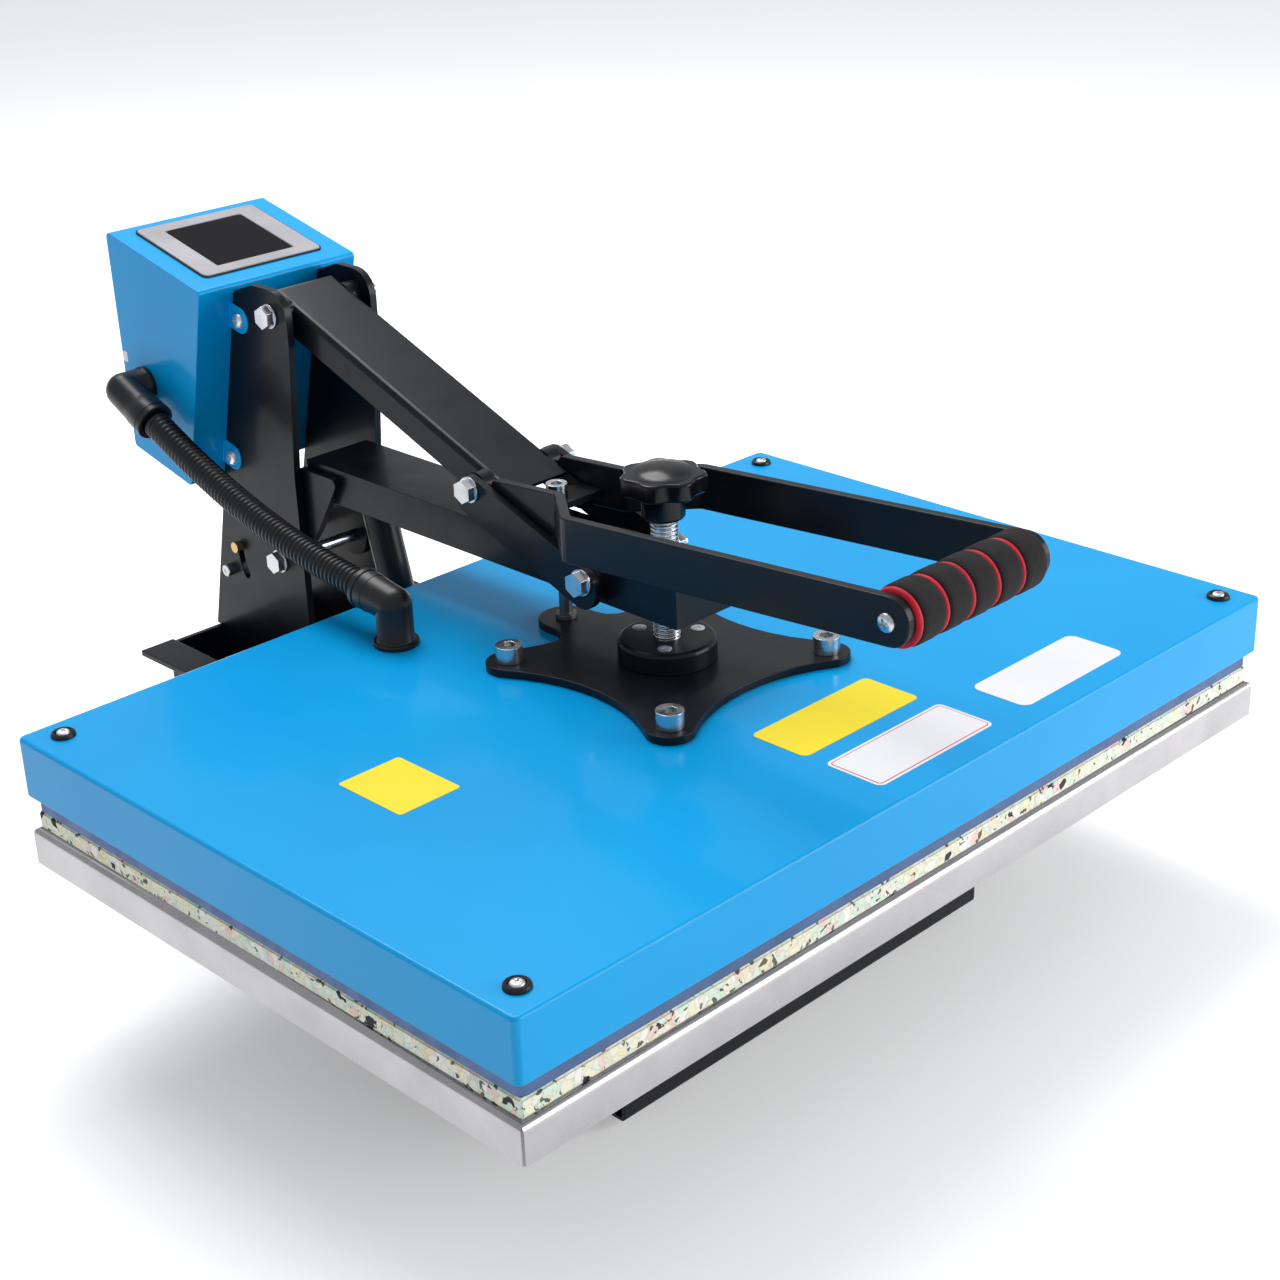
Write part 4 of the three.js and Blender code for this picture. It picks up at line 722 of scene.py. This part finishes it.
# Screws with cup washers on the cover
COVER_SCREW_X, COVER_SCREW_Y = 285.5, 185.5
CUP_SEAT = 1.0
CUP_PROFILE = ((0, 0), (6.9, 0), (6.9, 1.0), (6.4, 2.2), (5.5, 2.8), (4.5, 2.2), (4.2, CUP_SEAT), (0, CUP_SEAT))
CUP_STEPS = 40
COVER_HEAD_RADIUS, COVER_HEAD_HIGH = 3.9, 2.3


def cover_screws():
    for side, sign_x in (("left", -1), ("right", 1)):
        for end, sign_y in (("front", -1), ("rear", 1)):
            x, y = sign_x * COVER_SCREW_X, sign_y * COVER_SCREW_Y
            turned(f"cup_washer_{end}_{side}", CUP_PROFILE, PLASTIC, "platen", on_cover(x, y), CUP_STEPS)
            pan_screw(f"cover_screw_{end}_{side}", on_cover(x, y, CUP_SEAT), (0, 0, 1), "platen",
                      COVER_HEAD_RADIUS, COVER_HEAD_HIGH, BRIGHT)


cover_screws()


# Screws on the box's four tabs
TAB_FACE_X = 37.5
TAB_PLACES = (("upper", 340, 339), ("lower", 364.5, 241.5))
TAB_HEAD_RADIUS, TAB_HEAD_HIGH, TAB_HEAD_SPIN = 4.9, 3.2, 0.1


def tab_screws():
    for level, y, z in TAB_PLACES:
        for side, sign in (("left", -1), ("right", 1)):
            pan_screw(f"tab_screw_{level}_{side}", at(sign * TAB_FACE_X, y, z), (sign, 0, 0), "frame",
                      TAB_HEAD_RADIUS, TAB_HEAD_HIGH, BRIGHT, TAB_HEAD_SPIN)


tab_screws()


# Bright ends on the two studs behind the limit pin
STUD_X, STUD_Y, STUD_Z = 36, 383, 156
STUD_PROFILE = ((0, 0), (4.2, 0), (4.2, 4.9), (3.7, 5.4), (1.6, 5.4), (1.4, 5.1), (0, 5.1))
STUD_STEPS = 32


def stud_ends():
    for side, sign in (("left", -1), ("right", 1)):
        place = at(sign * STUD_X, STUD_Y, STUD_Z)
        turned(f"stud_end_{side}", STUD_PROFILE, STEEL, "frame", place, STUD_STEPS, (sign, 0, 0))


stud_ends()


# Screws through the handle bars into the grip's tube
HANDLE_FACE_X = 57.5
GRIP_HEAD_RADIUS, GRIP_HEAD_HIGH = 5.2, 2.8


def grip_screws():
    tube_low, tube_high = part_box("grip_tube")
    centre = (tube_low + tube_high) / 2
    for side, sign in (("left", -1), ("right", 1)):
        place = centre + Vector((sign * HANDLE_FACE_X * MM, 0, 0))
        pan_screw(f"grip_screw_{side}", place, (sign, 0, 0), "lever", GRIP_HEAD_RADIUS, GRIP_HEAD_HIGH, STEEL)


grip_screws()


# Countersunk screws in the thrust flange
FLANGE_SCREWS, FLANGE_RING, FLANGE_START = 3, 19.5, 100
SUNK_RADIUS, SUNK_HIGH, SUNK_SPIN = 4.2, 0.4, 0.6
SUNK_DEPTH, SUNK_HALF, SUNK_THICK = 0.3, SUNK_RADIUS * 0.5, SUNK_RADIUS * 0.12
SUNK_PROFILE = ((0, 0), (SUNK_RADIUS, 0), (SUNK_RADIUS, 0.25), (SUNK_RADIUS - 0.5, SUNK_HIGH), (0, SUNK_HIGH))


def flange_screws():
    low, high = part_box("thrust_flange")
    for index in range(FLANGE_SCREWS):
        turn = math.radians(FLANGE_START + 360 / FLANGE_SCREWS * index)
        place = at(FLANGE_RING * math.cos(turn), FLANGE_RING * math.sin(turn), 0)
        place.z = high.z
        piece = turned(f"flange_screw_{index + 1}", SUNK_PROFILE, BRIGHT, "platen", place, HEAD_STEPS)
        top = place + Vector((0, 0, SUNK_HIGH * MM))
        cross_cut(piece, SUNK_DEPTH, SUNK_HALF, SUNK_THICK, top, (0, 0, 1), SUNK_SPIN)


flange_screws()


# The spindle again, with a real helical thread between its foot and its neck
THREAD_CREST, THREAD_ROOT, THREAD_PITCH = 7.95, 7.15, 2.5
THREAD_SIDES, THREAD_ROWS, THREAD_FLANK = 48, 8, 1.6
THREAD_BELOW = 8
FOOT_RADIUS, FOOT_HIGH = 12, 4
NECK_RADIUS, NECK_LENGTH = 5.9, 20


def threaded_spindle():
    low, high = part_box("spindle")
    flange_low, flange_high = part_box("thrust_flange")
    foot, neck = low.z / MM, high.z / MM
    start, stop = flange_high.z / MM - THREAD_BELOW, neck - NECK_LENGTH
    work = bmesh.new()
    rings = []

    def ring(radius_at, height):
        made = []
        for side in range(THREAD_SIDES):
            turn = 2 * math.pi * side / THREAD_SIDES
            radius = radius_at(turn) * MM
            made.append(work.verts.new((radius * math.cos(turn), MID_Y + radius * math.sin(turn), height * MM)))
        rings.append(made)

    ring(lambda turn: FOOT_RADIUS, foot)
    ring(lambda turn: FOOT_RADIUS, foot + FOOT_HIGH)
    ring(lambda turn: THREAD_ROOT, foot + FOOT_HIGH)
    total = round((stop - start) / THREAD_PITCH * THREAD_ROWS)
    for row in range(total + 1):
        height = start + (stop - start) * row / total

        def radius_at(turn):
            phase = (height / THREAD_PITCH - turn / (2 * math.pi)) % 1
            fade = min(1, row / THREAD_ROWS, (total - row) / THREAD_ROWS)
            rise = min(1, THREAD_FLANK * (1 - abs(2 * phase - 1)))
            return THREAD_ROOT + (THREAD_CREST - THREAD_ROOT) * fade * rise

        ring(radius_at, height)
    ring(lambda turn: NECK_RADIUS, stop)
    ring(lambda turn: NECK_RADIUS, neck)
    for first, second in zip(rings, rings[1:]):
        for side in range(THREAD_SIDES):
            beside = (side + 1) % THREAD_SIDES
            work.faces.new((first[side], first[beside], second[beside], second[side]))
    work.faces.new(list(reversed(rings[0])))
    work.faces.new(rings[-1])
    piece = finish_mesh("threaded_spindle", work, STEEL, "pressure_screw", angle=40)
    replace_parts(piece, "spindle")


threaded_spindle()


# Blank labels: name, middle, width, depth and corner radius, finish and thickness
LABEL_LIFT = 0.05
COVER_LABELS = (
    ("label_yellow_square", -199.7, 0.4, 41, 51, 2, YELLOW_LABEL, 0.18),
    ("label_yellow_long", 11.2, -117.2, 96, 39, 4, YELLOW_LABEL, 0.18),
    ("label_white_base", 12, -168.2, 96, 38, 4, WHITE_LABEL, 0.18),
    ("label_red_edge", 12, -168.2, 92.6, 34.6, 2.6, RED_LABEL, 0.24),
    ("label_white_long", 12, -168.2, 91.4, 33.4, 2.1, WHITE_LABEL, 0.3),
    ("label_white_plain", 135, -169, 95, 38, 6, WHITE_LABEL, 0.18),
)
BOX_LABEL_PLACE = (-62.22, 440.6, 302)
BOX_LABEL_WIDTH, BOX_LABEL_HIGH, BOX_LABEL_CORNER, BOX_LABEL_THICK = 7, 5.4, 0.6, 0.15


def labels():
    for name, x, y, width, depth, corner, made, thick in COVER_LABELS:
        matrix = Matrix.Translation(on_cover(x, y, LABEL_LIFT))
        plate(name, round_rectangle(width, depth, corner), thick, made, "platen", matrix)
    matrix = Matrix.Translation(at(*BOX_LABEL_PLACE)) @ Matrix.Rotation(-math.pi / 2, 4, "Y")
    plate("label_box_side", round_rectangle(BOX_LABEL_WIDTH, BOX_LABEL_HIGH, BOX_LABEL_CORNER), BOX_LABEL_THICK,
          WHITE_LABEL, "frame", matrix)


labels()


# Floor, light and world: sizes in metres, powers in watts
FLOOR_HALF = 25
FLOOR_GLOW = 0.28
WORLD_COLOR, WORLD_STRENGTH = (0.95, 0.97, 1, 1), 0.52
LAMPS = (
    ("key", (0.4, 1.05, 2.3), (0, 0, 0.15), 1.5, 46),
    ("side", (1.4, -1.9, 0.9), (0, -0.1, 0.15), 1.4, 31),
)


def stage():
    work = bmesh.new()
    bmesh.ops.create_grid(work, x_segments=1, y_segments=1, size=FLOOR_HALF)
    floor_paint = material("studio_floor", (0.97, 0.97, 0.97), 0.9, specular=0.1)
    shader_of(floor_paint).inputs["Emission Color"].default_value = (1, 1, 1, 1)
    rays = add(floor_paint, "ShaderNodeLightPath")
    seen = add(floor_paint, "ShaderNodeMath", operation="ADD", use_clamp=True)
    link(floor_paint, rays, "Is Camera Ray", seen, 0)
    mirrored = add(floor_paint, "ShaderNodeMath", operation="ADD", use_clamp=True)
    link(floor_paint, rays, "Is Glossy Ray", mirrored, 0)
    link(floor_paint, rays, "Is Transmission Ray", mirrored, 1)
    link(floor_paint, mirrored, "Value", seen, 1)
    lift = add(floor_paint, "ShaderNodeMath", operation="MULTIPLY")
    lift.inputs[1].default_value = FLOOR_GLOW
    link(floor_paint, seen, "Value", lift, 0)
    link(floor_paint, lift, "Value", shader_of(floor_paint), "Emission Strength")
    floor = finish_mesh("studio_floor", work, floor_paint, None, smooth=False)
    world = bpy.data.worlds.new("studio_world")
    world.use_nodes = True
    backdrop = world.node_tree.nodes["Background"]
    backdrop.inputs["Color"].default_value = WORLD_COLOR
    backdrop.inputs["Strength"].default_value = WORLD_STRENGTH
    bpy.context.scene.world = world
    for name, place, target, size, power in LAMPS:
        data = bpy.data.lights.new(name, "AREA")
        data.energy = power
        data.size = size
        lamp = bpy.data.objects.new(name, data)
        way = Vector(target) - Vector(place)
        lamp.matrix_world = Matrix.Translation(place) @ way.to_track_quat("-Z", "Y").to_matrix().to_4x4()
        bpy.context.scene.collection.objects.link(lamp)
    bpy.context.scene.view_settings.view_transform = "Standard"


stage()
